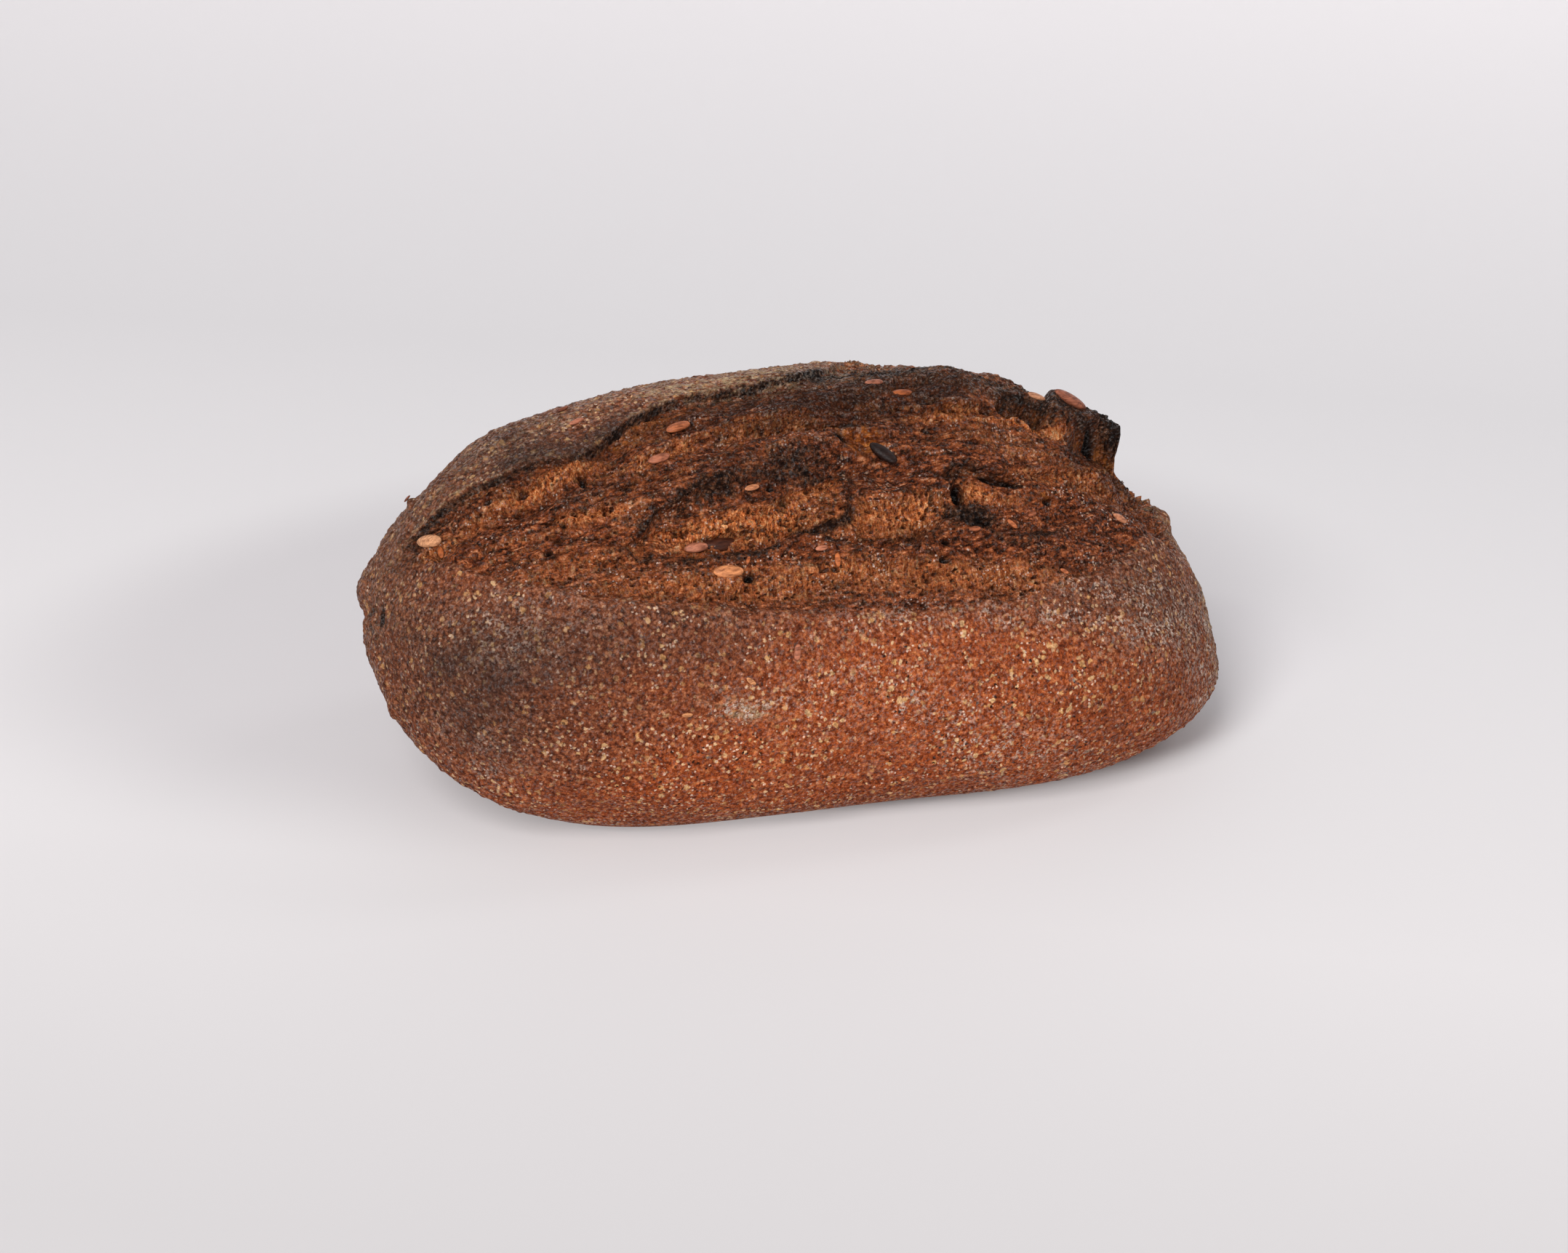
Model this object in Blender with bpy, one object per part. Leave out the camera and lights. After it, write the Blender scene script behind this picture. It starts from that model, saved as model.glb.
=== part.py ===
"""Wheat sourdough: a long hearth loaf, torn open along one score, with flax seeds.

Shapes are worked out in millimetres and turned into metres when a mesh is made.
A place on the loaf is given as (x, angle). x runs along the loaf from its left end
to its right end. The angle goes round the loaf in degrees: 0 is the middle of the
underside, 90 the front, 180 the top and 270 the back.
"""
import math
from collections import namedtuple

import bpy
import numpy as np
from mathutils import Matrix, Vector, noise

MM = 0.001

# Size of the plain loaf, before anything tears or swells
LENGTH = 204.0
FRONT_REACH = 59.7
BACK_REACH = 60.4
HEIGHT = 91.0
FOOT_DEPTH = 4.4
FOOT_SLOPE = -1.7
WIDEST_LINE = (33.6, -14.7, -4.6)
SPINE_DRIFT = (0.0, -2.5, -8.8)
CROWN_GAIN = (1.0, 0.23, -0.08)
WIDTH_GAIN = (1.0, 0.05, 0.0)
TAPER_POWER = 3.7
LEFT_ROOTS = (1.98, 1.98)
RIGHT_ROOTS = (1.24, 1.22)
TIP_ROUNDING = 0.22
TIP_POWER = 3.0
TOP_POWER = 1.67
FOOT_POWER = 2.8
POWER_BLEND = (-1.0, 0.6)
BOX_MIDDLE = (0.01, -1.23)

# Lines that run along the loaf, as (x, angle)
FRONT_LIP = [(-102, 168), (-94, 155), (-85, 143), (-75, 135), (-60, 126), (-40, 119), (-20, 116),
             (5, 115), (30, 117), (50, 123), (60, 127), (75, 139), (88, 155), (102, 172)]
TERRACE_EDGE = [(-102, 174), (-90, 160), (-75, 146), (-57, 134), (-39, 129), (-20, 129), (-10, 132),
                (0, 128), (13, 129), (25, 134), (32, 131), (52, 135), (70, 146), (88, 162), (102, 176)]
UPPER_EDGE = [(-102, 180), (-92, 164), (-80, 153), (-60, 153), (-45, 155), (-20, 156), (0, 157.5),
              (20, 160.5), (40, 160), (52, 159), (58, 160), (64, 163), (70, 167), (79, 173), (88, 172),
              (102, 182)]
EAR_EDGE = [(-102, 186), (-93, 171), (-80, 166.5), (-70, 165), (-62, 162.5), (-55, 160.5), (-50, 163.5),
            (-38, 169.5), (-25, 172), (0, 176), (20, 184), (40, 189), (70, 192), (88, 186), (102, 190)]
CREST_LINE = [(-60, 134), (-50, 137), (-40, 141), (-20, 146), (0, 150), (20, 147), (35, 145), (60, 144)]

# How strongly each line shows along the loaf, as (x, millimetres)
EAR_RISE = [(-100, 0), (-92, 1.2), (-82, 2.0), (-66, 2.0), (-57, 1.0), (-50, 1.4), (-30, 1.4), (0, 0.8),
            (20, 0.3), (45, 0.1), (60, 0)]
EAR_UNDERCUT = [(-100, 0), (-92, 1.6), (-82, 2.6), (-66, 2.8), (-56, 0.6), (-48, 2.0), (-10, 2.2),
                (20, 0.8), (45, 0.2), (60, 0)]
TERRACE_RISE = [(-66, 0), (-50, 0.8), (-35, 2.0), (-5, 1.8), (15, 2.2), (30, 2.0), (45, 1.2), (62, 0)]
TERRACE_VALLEY = [(-62, 0), (-48, 1.4), (-30, 3.8), (-10, 4.2), (15, 4.4), (30, 3.0), (48, 1.2), (66, 0)]
CREST_RISE = [(-64, 0), (-45, 1.8), (-25, 2.8), (0, 2.6), (12, 1.8), (35, 1.4), (60, 0)]
FLAP_LIFT = [(49, 0), (53.5, 0.3), (56, 4.8), (60, 5.6), (66, 6.8), (72, 8.4), (78, 9.6)]

# The opening: where it starts and stops along the loaf, and how soft its two edges are
OPENING_SPAN = (-98.0, -92.0, 86.0, 93.0)
LIP_SOFTNESS = (-0.5, 3.0)
EAR_SOFTNESS = (-0.8, 0.8)
SCORE_DEPTH = 1.1

# Each torn edge: half width of its step, and how far the relief fades away from it
EAR_STEP = 1.0
EAR_FADE = 9.0
UNDERCUT_FADE = 4.0
EAR_LEAN = (0.8, 1.2, 2.4)
EAR_TUCK = (0.5, -2.0, 2.0)
TERRACE_STEP = 1.1
TERRACE_FADE = 8.0
VALLEY_FADE = 6.0
CREST_REACH = (3.4, 9.0)
STREAK_SPAN = (-46.0, -36.0, 50.0, 58.0)
STREAK_RISE = 0.8
STREAK_STEP = 0.8
STREAK_FADE = 8.0
BAND_SPAN = (-95.0, -86.0, -52.0, -44.0)
BAND_DEPTH = 2.2
BAND_PLACE = (1.5, 4.5)

# The flap: the torn, lifted right end of the upper layer
FLAP_START = (58.0, 67.0)
FLAP_RIGHT = 76.3
FLAP_OVERHANG = 2.0
FLAP_OVERHANG_RISE = (-1.0, 4.0)
FLAP_BREAK = 0.9
FLAP_RIM = (-1.2, 2.4)
FLAP_BACK = (178.0, 208.0)
FLAP_SLANT = 0.3
FLAP_LEAN = (3.4, 3.0, 3.0)
FLAP_HOLLOW = (5.0, -1.6, 2.4)
FLAP_WALL_DROP = 4.6
FLAP_WALL = (-13.0, -3.0)
TORN_DROP = 6.2
TORN_SPAN = (66.0, 74.0, 82.0, 90.0)
TORN_ANGLES = (138.0, 152.0, 196.0, 222.0)
ABOVE_FOOT = (0.2, 9.0)

# Swellings and hollows: x, angle, half length along x, half width in degrees, height
SWELLINGS = [
    (-70, 193, 12, 8, 2.8), (-44, 187, 12, 7, 1.4), (-90, 43, 8, 8, 3.2), (-78, 38, 12, 9, 1.0),
    (26, 133.5, 3.8, 3.4, 2.6), (-30, 158, 16, 5, 0.8), (46, 186, 7, 9, -1.0), (83, 166, 2.6, 4, 2.2),
    (84, 172, 3, 4, 1.6), (30, 38, 40, 8, 1.4), (64, 100, 18, 16, 0.8), (-60, 244, 26, 20, 1.4),
    (38, 236, 24, 18, 1.2), (4, 262, 18, 15, -1.0), (-95, 155, 6, 14, -1.4),
]
HOLLOWS = [
    (3, 152, 2.8, 1.7, 4.0), (8, 151.5, 3.0, 1.5, 1.8), (21, 165, 3.0, 2.4, 2.4),
    (24.5, 138.5, 1.6, 2.6, 4.5), (34, 141, 4.5, 1.5, 2.6), (-31.5, 130.5, 5.0, 1.5, 2.6),
    (-2.5, 136, 1.8, 6.0, 2.6), (-57, 152.5, 1.7, 3.2, 2.0), (50, 162.5, 6.5, 2.6, 4.2),
    (62, 154.5, 3.0, 3.0, 3.4), (-89, 149, 1.4, 3.0, 2.2), (-65, 143, 2.6, 1.4, 1.8),
    (72, 158, 4.0, 6.0, 1.5), (12, 142, 5.0, 3.0, 1.0), (-45, 134, 6.0, 3.0, 1.2),
]
# The left end's folded skin: x, y, z, radius, height
END_FOLDS = [(-100.5, 8.0, 44.5, 3.2, -2.4), (-99.0, 15.0, 44.5, 3.4, -1.8), (-101, 2.0, 35.0, 6.0, 0.5),
             (-101.5, -2.5, 42.0, 2.2, -1.4), (-101, -4.0, 36.0, 2.2, -1.3), (-100, -5.0, 30.0, 2.2, -1.0),
             (-99, 6.0, 56.0, 8.0, 1.4)]

# Random unevenness: size along the loaf, size across it, height
CRUST_LUMPS = (26.0, 22.0, 1.4)
CRUMB_LUMPS = (15.0, 5.5, 1.9)

# Rows of the mesh between the lines that run along the loaf
EDGE_BAND = 2.4
ROW_GAP = 0.5
ROWS = (3, 12, 3, 3, 6, 4, 2, 4, 4, 12, 3)
COLUMNS = 84
FOOT_ANGLE = 24.0
BACK_ANGLE = 216.0
END_CROWDING = 0.7
END_LIMIT = 0.994 * LENGTH / 2

# Flax seeds: x, angle, turn on the surface in degrees, length
SEEDS = [
    (-89.5, 159, 4, 6.0), (-33, 161, 14, 5.8), (-40, 152, 10, 5.0), (-37, 129.5, 0, 5.0),
    (-31.5, 124, -6, 6.6), (16, 170.5, 6, 3.6), (21, 164.5, 0, 4.4), (10, 148.5, -38, 6.4),
    (27, 131.5, 0, 2.8), (36, 132.5, -50, 2.8), (-6.5, 124.5, 84, 3.0), (-9, 127.5, 4, 3.0),
    (64, 138.5, -20, 4.0), (-29, 101, 74, 2.8), (-53, 173, 12, 3.6), (65, 180, -4, 8.0),
    (-87.7, 207, 30, 3.4), (-47, 186, 12, 3.4),
]
SEED_WIDTH = 0.5
SEED_THICKNESS = 0.26
SEED_SIDES = 5
SEED_RINGS = ((-0.62, 0.70), (0.0, 1.0), (0.60, 0.82))
SEED_LIFT = 0.25
BACK_SEED_COUNT = 6
BACK_SEED_RANGE = ((-70.0, 70.0), (200.0, 265.0))
BACK_SEED_LENGTH = (3.6, 5.6)
SEED_DRAW = 11

Place = namedtuple("Place", "x angle degree_length")

CRUST_COLOUR = (0.24, 0.085, 0.035, 1.0)
CRUST_ROUGHNESS = 0.75


def smooth_step(low, high, value):
    """Rise from 0 at low to 1 at high with no corners."""
    share = np.clip((value - low) / (high - low), 0.0, 1.0)
    return share * share * (3.0 - 2.0 * share)


def bell(distance, width):
    return np.exp(-(distance / width) ** 2)


def between(ends, value):
    """Rise from 0 to 1 over the first two ends, and fall back over the last two."""
    return smooth_step(ends[0], ends[1], value) * (1.0 - smooth_step(ends[2], ends[3], value))


def along_curve(points, x):
    """Read a smooth curve through the points (x, value), level beyond its ends."""
    places, values = np.array(points, dtype=float).T
    slopes = np.gradient(values, places)
    left = np.clip(np.searchsorted(places, x) - 1, 0, len(places) - 2)
    span = places[left + 1] - places[left]
    share = np.clip((x - places[left]) / span, 0.0, 1.0)
    rest = 1.0 - share
    blend = rest * rest * (1.0 + 2.0 * share) * values[left]
    blend += share * share * (1.0 + 2.0 * rest) * values[left + 1]
    blend += span * share * rest * rest * slopes[left]
    blend -= span * share * share * rest * slopes[left + 1]
    return blend


def bend(terms, share):
    return terms[0] + terms[1] * share + terms[2] * share * share


def plain_loaf(x, angle):
    """Place a point on the plain loaf: rounded sections that taper towards both ends."""
    share = np.clip(x / (LENGTH / 2), -1.0, 1.0)
    left = share < 0
    room = np.maximum(1.0 - np.abs(share) ** TAPER_POWER, 0.0)
    tip = np.where(left, 0.0, TIP_ROUNDING) * np.sqrt(room) * (1.0 - room) ** TIP_POWER
    side_taper = room ** (1.0 / np.where(left, LEFT_ROOTS[0], RIGHT_ROOTS[0])) + tip
    upright_taper = room ** (1.0 / np.where(left, LEFT_ROOTS[1], RIGHT_ROOTS[1])) + tip
    middle = bend(WIDEST_LINE, share)
    side = np.sin(np.radians(angle))
    lift = -np.cos(np.radians(angle))
    roundness = FOOT_POWER + (TOP_POWER - FOOT_POWER) * smooth_step(*POWER_BLEND, lift)
    sideways = np.abs(side) ** (2.0 / roundness) * side_taper * bend(WIDTH_GAIN, share)
    y = bend(SPINE_DRIFT, share) + np.where(side > 0, -FRONT_REACH, BACK_REACH) * sideways
    crown = (HEIGHT - WIDEST_LINE[0]) * bend(CROWN_GAIN, share)
    foot = middle + FOOT_DEPTH + FOOT_SLOPE * share
    upright = np.abs(lift) ** (2.0 / roundness) * upright_taper
    z = middle + np.where(lift > 0, crown, -foot) * upright
    return np.stack([x + 0.0 * angle, y, np.maximum(z, 0.0)], axis=-1)


def unit(vectors):
    return vectors / np.maximum(np.linalg.norm(vectors, axis=-1, keepdims=True), 1e-9)


def surface_axes(x, angle):
    """Outward and around directions of the plain loaf, and how long one degree is."""
    inside = np.clip(x, -END_LIMIT, END_LIMIT)
    along = plain_loaf(inside + 0.5, angle) - plain_loaf(inside - 0.5, angle)
    around = (plain_loaf(inside, angle + 1.0) - plain_loaf(inside, angle - 1.0)) / 2.0
    return unit(np.cross(along, around)), unit(around), np.linalg.norm(around, axis=-1)


def lumps(points, length, width, height):
    """Smooth random unevenness, as long, wide and high as given, at each point."""
    flat = points.reshape(-1, 3) / (length, width, width)
    values = [noise.noise(Vector(place)) for place in flat]
    return height * np.array(values).reshape(points.shape[:-1])


def gap_to(line, place):
    """Distance over the surface from a line that runs along the loaf, in millimetres."""
    return (place.angle - along_curve(line, place.x)) * place.degree_length


def opening_share(place):
    """1 on the torn crumb between the front lip and the ear, 0 on the crust."""
    past_lip = smooth_step(*LIP_SOFTNESS, gap_to(FRONT_LIP, place))
    before_ear = smooth_step(*EAR_SOFTNESS, -gap_to(EAR_EDGE, place))
    return past_lip * before_ear * between(OPENING_SPAN, place.x)


def push(rise, gap):
    """A rounded push of rise = (height, distance from the edge, half width)."""
    height, middle, half_width = rise
    return height * bell(gap - middle, half_width)


def ear_relief(place):
    """The ear: a crust edge that stands over the crumb in front of it."""
    gap = gap_to(EAR_EDGE, place)
    behind = smooth_step(-EAR_STEP, EAR_STEP, gap)
    rise = along_curve(EAR_RISE, place.x)
    undercut = along_curve(EAR_UNDERCUT, place.x)
    outward = rise * behind * np.exp(-np.maximum(gap, 0.0) / EAR_FADE)
    outward -= undercut * (1.0 - behind) * np.exp(np.minimum(gap, 0.0) / UNDERCUT_FADE)
    return outward, rise * (push(EAR_LEAN, gap) - push(EAR_TUCK, gap))


def terrace_relief(place):
    """The lower terrace, the valley above its edge and the charred crest behind it."""
    gap = gap_to(TERRACE_EDGE, place)
    above = smooth_step(-TERRACE_STEP, TERRACE_STEP, gap)
    terrace = along_curve(TERRACE_RISE, place.x) * (1.0 - above) * np.exp(np.minimum(gap, 0.0) / TERRACE_FADE)
    valley = along_curve(TERRACE_VALLEY, place.x) * above * np.exp(-np.maximum(gap, 0.0) / VALLEY_FADE)
    past_crest = gap_to(CREST_LINE, place)
    crest_width = np.where(past_crest < 0, *CREST_REACH)
    return terrace - valley + along_curve(CREST_RISE, place.x) * bell(past_crest, crest_width)


def upper_layer_relief(place):
    """The thin torn edge above the middle, and the torn band under the left ear."""
    gap = gap_to(UPPER_EDGE, place)
    step = smooth_step(-STREAK_STEP, STREAK_STEP, gap) * np.exp(-np.maximum(gap, 0.0) / STREAK_FADE)
    band = push((BAND_DEPTH, *BAND_PLACE), gap)
    return STREAK_RISE * between(STREAK_SPAN, place.x) * step - between(BAND_SPAN, place.x) * band


def flap_relief(place):
    """The lifted right end of the upper layer, the hollow under it and the torn dip beside it."""
    gap = gap_to(UPPER_EDGE, place)
    end = FLAP_RIGHT + FLAP_OVERHANG * smooth_step(*FLAP_OVERHANG_RISE, gap)
    kept = 1.0 - smooth_step(end - FLAP_BREAK, end + FLAP_BREAK, place.x)
    reach = kept * smooth_step(*FLAP_START, place.x)
    fade = 1.0 - smooth_step(*FLAP_BACK, place.angle)
    torn = TORN_DROP * between(TORN_SPAN, place.x) * between(TORN_ANGLES, place.angle)
    dip = np.maximum(torn, FLAP_WALL_DROP * reach * smooth_step(*FLAP_WALL, gap) * fade)
    on_top = kept * smooth_step(*FLAP_RIM, gap)
    slanted = place.x - FLAP_SLANT * np.maximum(place.angle - along_curve(UPPER_EDGE, place.x), 0.0)
    lift = on_top * along_curve(FLAP_LIFT, slanted) * fade - (1.0 - on_top) * dip
    return lift, reach * fade * (push(FLAP_LEAN, gap) - push(FLAP_HOLLOW, gap))


def spots(table, place):
    """Add up round swellings, each given by place, half sizes and height."""
    total = np.zeros(place.x.shape)
    for x, angle, half_length, half_width, height in table:
        sideways = (place.angle - angle) * place.degree_length
        total += height * bell(place.x - x, half_length) * bell(sideways, half_width)
    return total


def end_folds(points):
    total = np.zeros(points.shape[:-1])
    for *middle, radius, height in END_FOLDS:
        total += height * bell(np.linalg.norm(points - np.array(middle), axis=-1), radius)
    return total


def loaf_surface(x, angle):
    """Points of the finished loaf, with all its swellings, tears and folds."""
    plain = plain_loaf(x, angle)
    outward_axis, around_axis, degree_length = surface_axes(x, angle)
    place = Place(x, angle, degree_length)
    opening = opening_share(place)
    ear_out, ear_forward = ear_relief(place)
    flap_lift, flap_forward = flap_relief(place)
    outward = ear_out + terrace_relief(place) + upper_layer_relief(place) - SCORE_DEPTH * opening
    outward += spots(SWELLINGS, place) - spots(HOLLOWS, place) + end_folds(plain)
    outward += lumps(plain, *CRUST_LUMPS) + opening * lumps(plain, *CRUMB_LUMPS)
    above_foot = smooth_step(*ABOVE_FOOT, plain[..., 2])
    forward = (ear_forward + flap_forward) * above_foot
    points = plain + (outward * above_foot)[..., None] * outward_axis - forward[..., None] * around_axis
    points[..., 2] = np.maximum(points[..., 2] + flap_lift, 0.0)
    return points


def mesh_columns(count):
    """x of each ring of points, closer together towards both ends."""
    share = np.linspace(-1.0, 1.0, count + 1)
    rounded = (1.0 - END_CROWDING) * share + END_CROWDING * np.sin(share * math.pi / 2)
    return rounded * LENGTH / 2


def mesh_rows(x, rows):
    """Angles of the points round one ring, closer together at the torn edges."""
    stops = [0.0, FOOT_ANGLE, along_curve(FRONT_LIP, x)]
    for line in (TERRACE_EDGE, UPPER_EDGE, EAR_EDGE):
        middle = along_curve(line, x)
        band = EDGE_BAND / surface_axes(x, middle)[2]
        stops += [middle - band, middle + band]
    stops += [BACK_ANGLE, 360.0 - FOOT_ANGLE, 360.0]
    for place in range(1, len(stops)):
        stops[place] = max(stops[place], stops[place - 1] + ROW_GAP * rows[place - 1])
    starts = np.concatenate([[0], np.cumsum(rows)])
    return np.interp(np.arange(starts[-1]), starts, np.array(stops, dtype=float))


def loaf_mesh():
    """A closed net of rings along the loaf, with one point at each end."""
    ring_x = mesh_columns(COLUMNS)[1:-1]
    angles = np.stack([mesh_rows(x, ROWS) for x in ring_x])
    rings = loaf_surface(np.repeat(ring_x[:, None], angles.shape[1], axis=1), angles)
    ends = loaf_surface(np.array([-LENGTH / 2, LENGTH / 2]), np.array([180.0, 180.0]))
    count, around = angles.shape
    left_end = count * around
    faces = []
    for ring in range(count - 1):
        for step in range(around):
            here = ring * around + step
            next_step = ring * around + (step + 1) % around
            faces.append((here, here + around, next_step + around, next_step))
    for step in range(around):
        next_step = (step + 1) % around
        last = (count - 1) * around
        faces.append((left_end, step, next_step))
        faces.append((left_end + 1, last + next_step, last + step))
    points = np.concatenate([rings.reshape(-1, 3), ends])
    points[:, :2] -= np.array(BOX_MIDDLE)
    mesh = bpy.data.meshes.new("loaf")
    mesh.from_pydata((points * MM).tolist(), [], faces)
    return mesh


def seed_mesh():
    """A flax seed one unit long: flat, pointed at one end, rounder at the other."""
    points = [(-0.5, 0.0, 0.0)]
    for place, width in SEED_RINGS:
        for side in range(SEED_SIDES):
            turn = 2 * math.pi * side / SEED_SIDES
            points.append((place / 2, math.cos(turn) * width * SEED_WIDTH / 2,
                           math.sin(turn) * width * SEED_THICKNESS / 2))
    points.append((0.5, 0.0, 0.0))
    faces = []
    last_ring = 1 + SEED_SIDES * (len(SEED_RINGS) - 1)
    for side in range(SEED_SIDES):
        after = (side + 1) % SEED_SIDES
        faces.append((0, 1 + after, 1 + side))
        faces.append((last_ring + side, last_ring + after, len(points) - 1))
        for ring in range(len(SEED_RINGS) - 1):
            start = 1 + ring * SEED_SIDES
            faces.append((start + side, start + after, start + SEED_SIDES + after, start + SEED_SIDES + side))
    mesh = bpy.data.meshes.new("flax_seed")
    mesh.from_pydata(points, [], faces)
    return mesh


def seed_places():
    """The seeds that show, and a few more on the back crust."""
    draw = np.random.default_rng(SEED_DRAW)
    places = list(SEEDS)
    for _ in range(BACK_SEED_COUNT):
        x = draw.uniform(*BACK_SEED_RANGE[0])
        angle = draw.uniform(*BACK_SEED_RANGE[1])
        places.append((x, angle, draw.uniform(-90.0, 90.0), draw.uniform(*BACK_SEED_LENGTH)))
    return places


def seed_matrix(loaf, x, angle, turn, length):
    """Lay a seed on the loaf's own faces, turned in their plane."""
    middle = Vector(loaf_surface(np.array([x]), np.array([angle]))[0]) - Vector((*BOX_MIDDLE, 0.0))
    _, touching, outward, _ = loaf.closest_point_on_mesh(middle * MM)
    along = (Vector((1.0, 0.0, 0.0)) - outward * outward.x).normalized()
    long_axis = Matrix.Rotation(math.radians(turn), 3, outward) @ along
    turned = Matrix((long_axis, outward.cross(long_axis), outward)).transposed().to_4x4()
    return Matrix.Translation(touching + outward * SEED_LIFT * MM) @ turned @ Matrix.Scale(length * MM, 4)


def crust_material():
    material = bpy.data.materials.new("baked_crust")
    material.use_nodes = True
    shader = material.node_tree.nodes["Principled BSDF"]
    shader.inputs["Base Color"].default_value = CRUST_COLOUR
    shader.inputs["Roughness"].default_value = CRUST_ROUGHNESS
    shader.inputs["Metallic"].default_value = 0.0
    return material


def join_seeds(loaf):
    """Fuse every seed to the loaf with one union, then remove the loose seeds."""
    seeds = bpy.data.collections.new("seeds")
    bpy.context.scene.collection.children.link(seeds)
    shape = seed_mesh()
    for number, place in enumerate(seed_places()):
        seed = bpy.data.objects.new(f"seed_{number}", shape)
        seed.matrix_world = seed_matrix(loaf, *place)
        seeds.objects.link(seed)
    union = loaf.modifiers.new("join_seeds", "BOOLEAN")
    union.operation = "UNION"
    union.solver = "EXACT"
    union.operand_type = "COLLECTION"
    union.collection = seeds
    bpy.context.view_layer.objects.active = loaf
    loaf.select_set(True)
    bpy.ops.object.modifier_apply(modifier=union.name)
    for seed in list(seeds.objects):
        bpy.data.objects.remove(seed)
    bpy.data.collections.remove(seeds)


def main():
    for old in list(bpy.data.objects):
        bpy.data.objects.remove(old)
    loaf = bpy.data.objects.new("loaf", loaf_mesh())
    bpy.context.scene.collection.objects.link(loaf)
    loaf.data.materials.append(crust_material())
    join_seeds(loaf)
    loaf.data.shade_smooth()


main()
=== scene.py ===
"""Wheat sourdough: the finish of a long hearth loaf, its torn crumb and its flax seeds.

The loaf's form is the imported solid's, worked out again on a much finer net, with the
fine relief of the crust and the torn crumb on it. Shapes are worked out in millimetres
and turned into metres when a mesh is made. A place on the loaf is given as (x, angle):
x runs along the loaf from its left end to its right end, and the angle goes round it in
degrees, where 0 is the middle of the underside, 90 the front, 180 the top, 270 the back.
"""

import math
from collections import namedtuple

import bpy
import numpy as np
from mathutils import Matrix, Vector, noise


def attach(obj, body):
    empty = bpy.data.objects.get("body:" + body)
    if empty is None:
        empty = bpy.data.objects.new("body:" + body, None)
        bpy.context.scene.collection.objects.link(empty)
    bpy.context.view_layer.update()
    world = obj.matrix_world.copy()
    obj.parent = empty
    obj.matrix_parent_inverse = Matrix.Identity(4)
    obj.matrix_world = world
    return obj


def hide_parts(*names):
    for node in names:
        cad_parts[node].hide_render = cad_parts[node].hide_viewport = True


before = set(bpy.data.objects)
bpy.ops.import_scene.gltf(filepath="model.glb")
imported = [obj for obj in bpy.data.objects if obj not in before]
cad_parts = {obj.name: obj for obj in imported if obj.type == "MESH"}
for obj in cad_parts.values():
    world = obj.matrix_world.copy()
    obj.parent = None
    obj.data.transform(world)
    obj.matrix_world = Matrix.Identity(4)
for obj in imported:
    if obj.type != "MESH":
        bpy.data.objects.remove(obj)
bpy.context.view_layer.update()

MM = 0.001

# Size of the plain loaf, before anything tears or swells
LENGTH = 204.0
FRONT_REACH = 59.7
BACK_REACH = 60.4
HEIGHT = 91.0
FOOT_DEPTH = 4.4
FOOT_SLOPE = -1.7
WIDEST_LINE = (33.6, -14.7, -4.6)
SPINE_DRIFT = (0, -2.5, -8.8)
CROWN_GAIN = (1, 0.23, -0.08)
WIDTH_GAIN = (1, 0.05, 0)
TAPER_POWER = 3.7
LEFT_ROOTS = (1.98, 1.98)
RIGHT_ROOTS = (1.24, 1.22)
TIP_ROUNDING = 0.22
TIP_POWER = 3.0
TOP_POWER = 1.67
FOOT_POWER = 2.8
POWER_BLEND = (-1, 0.6)
BOX_MIDDLE = (0.01, -1.23)

# Lines that run along the loaf, as (x, angle)
FRONT_LIP = [
    (-102, 168), (-96, 159), (-91, 150), (-83, 136), (-70, 126), (-58, 120.5), (-48, 117.5),
    (-37, 115.5), (-24, 114), (2, 112.5), (15, 113.5), (33, 116), (49, 121.5), (66, 130.5), (76, 141),
    (88, 156), (102, 172),
]
TERRACE_EDGE = [
    (-102, 174), (-90, 160), (-75, 146), (-57, 134), (-39, 129), (-20, 129), (-10, 132), (0, 128),
    (13, 129), (25, 134), (32, 131), (52, 135), (70, 146), (88, 162), (102, 176),
]
UPPER_EDGE = [
    (-102, 180), (-92, 164), (-80, 153), (-60, 153), (-45, 155), (-20, 156), (0, 157.5), (20, 160.5),
    (40, 160), (52, 159), (58, 160), (64, 163), (70, 167), (79, 173), (88, 172), (102, 182),
]
EAR_EDGE = [
    (-102, 186), (-92, 173), (-83.5, 169.6), (-73, 165.4), (-63, 163.5), (-56.5, 160.6), (-52, 161.8),
    (-47, 165.1), (-42, 168), (-36, 170.4), (-24, 172.8), (-12, 174.8), (-1, 177.8), (5, 182.6),
    (11, 190), (18, 199), (26, 205), (40, 207), (70, 204), (88, 190), (102, 190),
]
CREST_LINE = [
    (-60, 134), (-50, 137), (-40, 141), (-20, 146), (0, 150), (20, 147), (35, 145), (60, 144),
]

# How strongly each line shows along the loaf, as (x, millimetres)
EAR_RISE = [
    (-100, 0), (-92, 0.7), (-82, 0.9), (-66, 0.9), (-57, 0.5), (-50, 0.9), (-30, 0.8), (0, 0.5),
    (16, 0.1), (30, 0), (60, 0),
]
EAR_UNDERCUT = [
    (-100, 0), (-92, 0.8), (-82, 1.1), (-66, 1.1), (-56, 0.4), (-48, 0.9), (-10, 0.7), (15, 0.3),
    (30, 0), (60, 0),
]
TERRACE_RISE = [
    (-66, 0), (-50, 0.8), (-35, 2), (-5, 1.8), (15, 2.2), (30, 2), (45, 1.2), (62, 0),
]
TERRACE_VALLEY = [
    (-62, 0), (-48, 1.4), (-30, 3.8), (-10, 4.2), (15, 4.4), (30, 3), (48, 1.2), (66, 0),
]
CREST_RISE = [
    (-64, 0), (-45, 1.8), (-25, 2.8), (0, 2.6), (12, 1.8), (35, 1.4), (60, 0),
]
FLAP_LIFT = [
    (49, 0), (53.5, 0.3), (56, 4.2), (60, 5), (66, 6.4), (72, 7.9), (78, 8.8),
]

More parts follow.
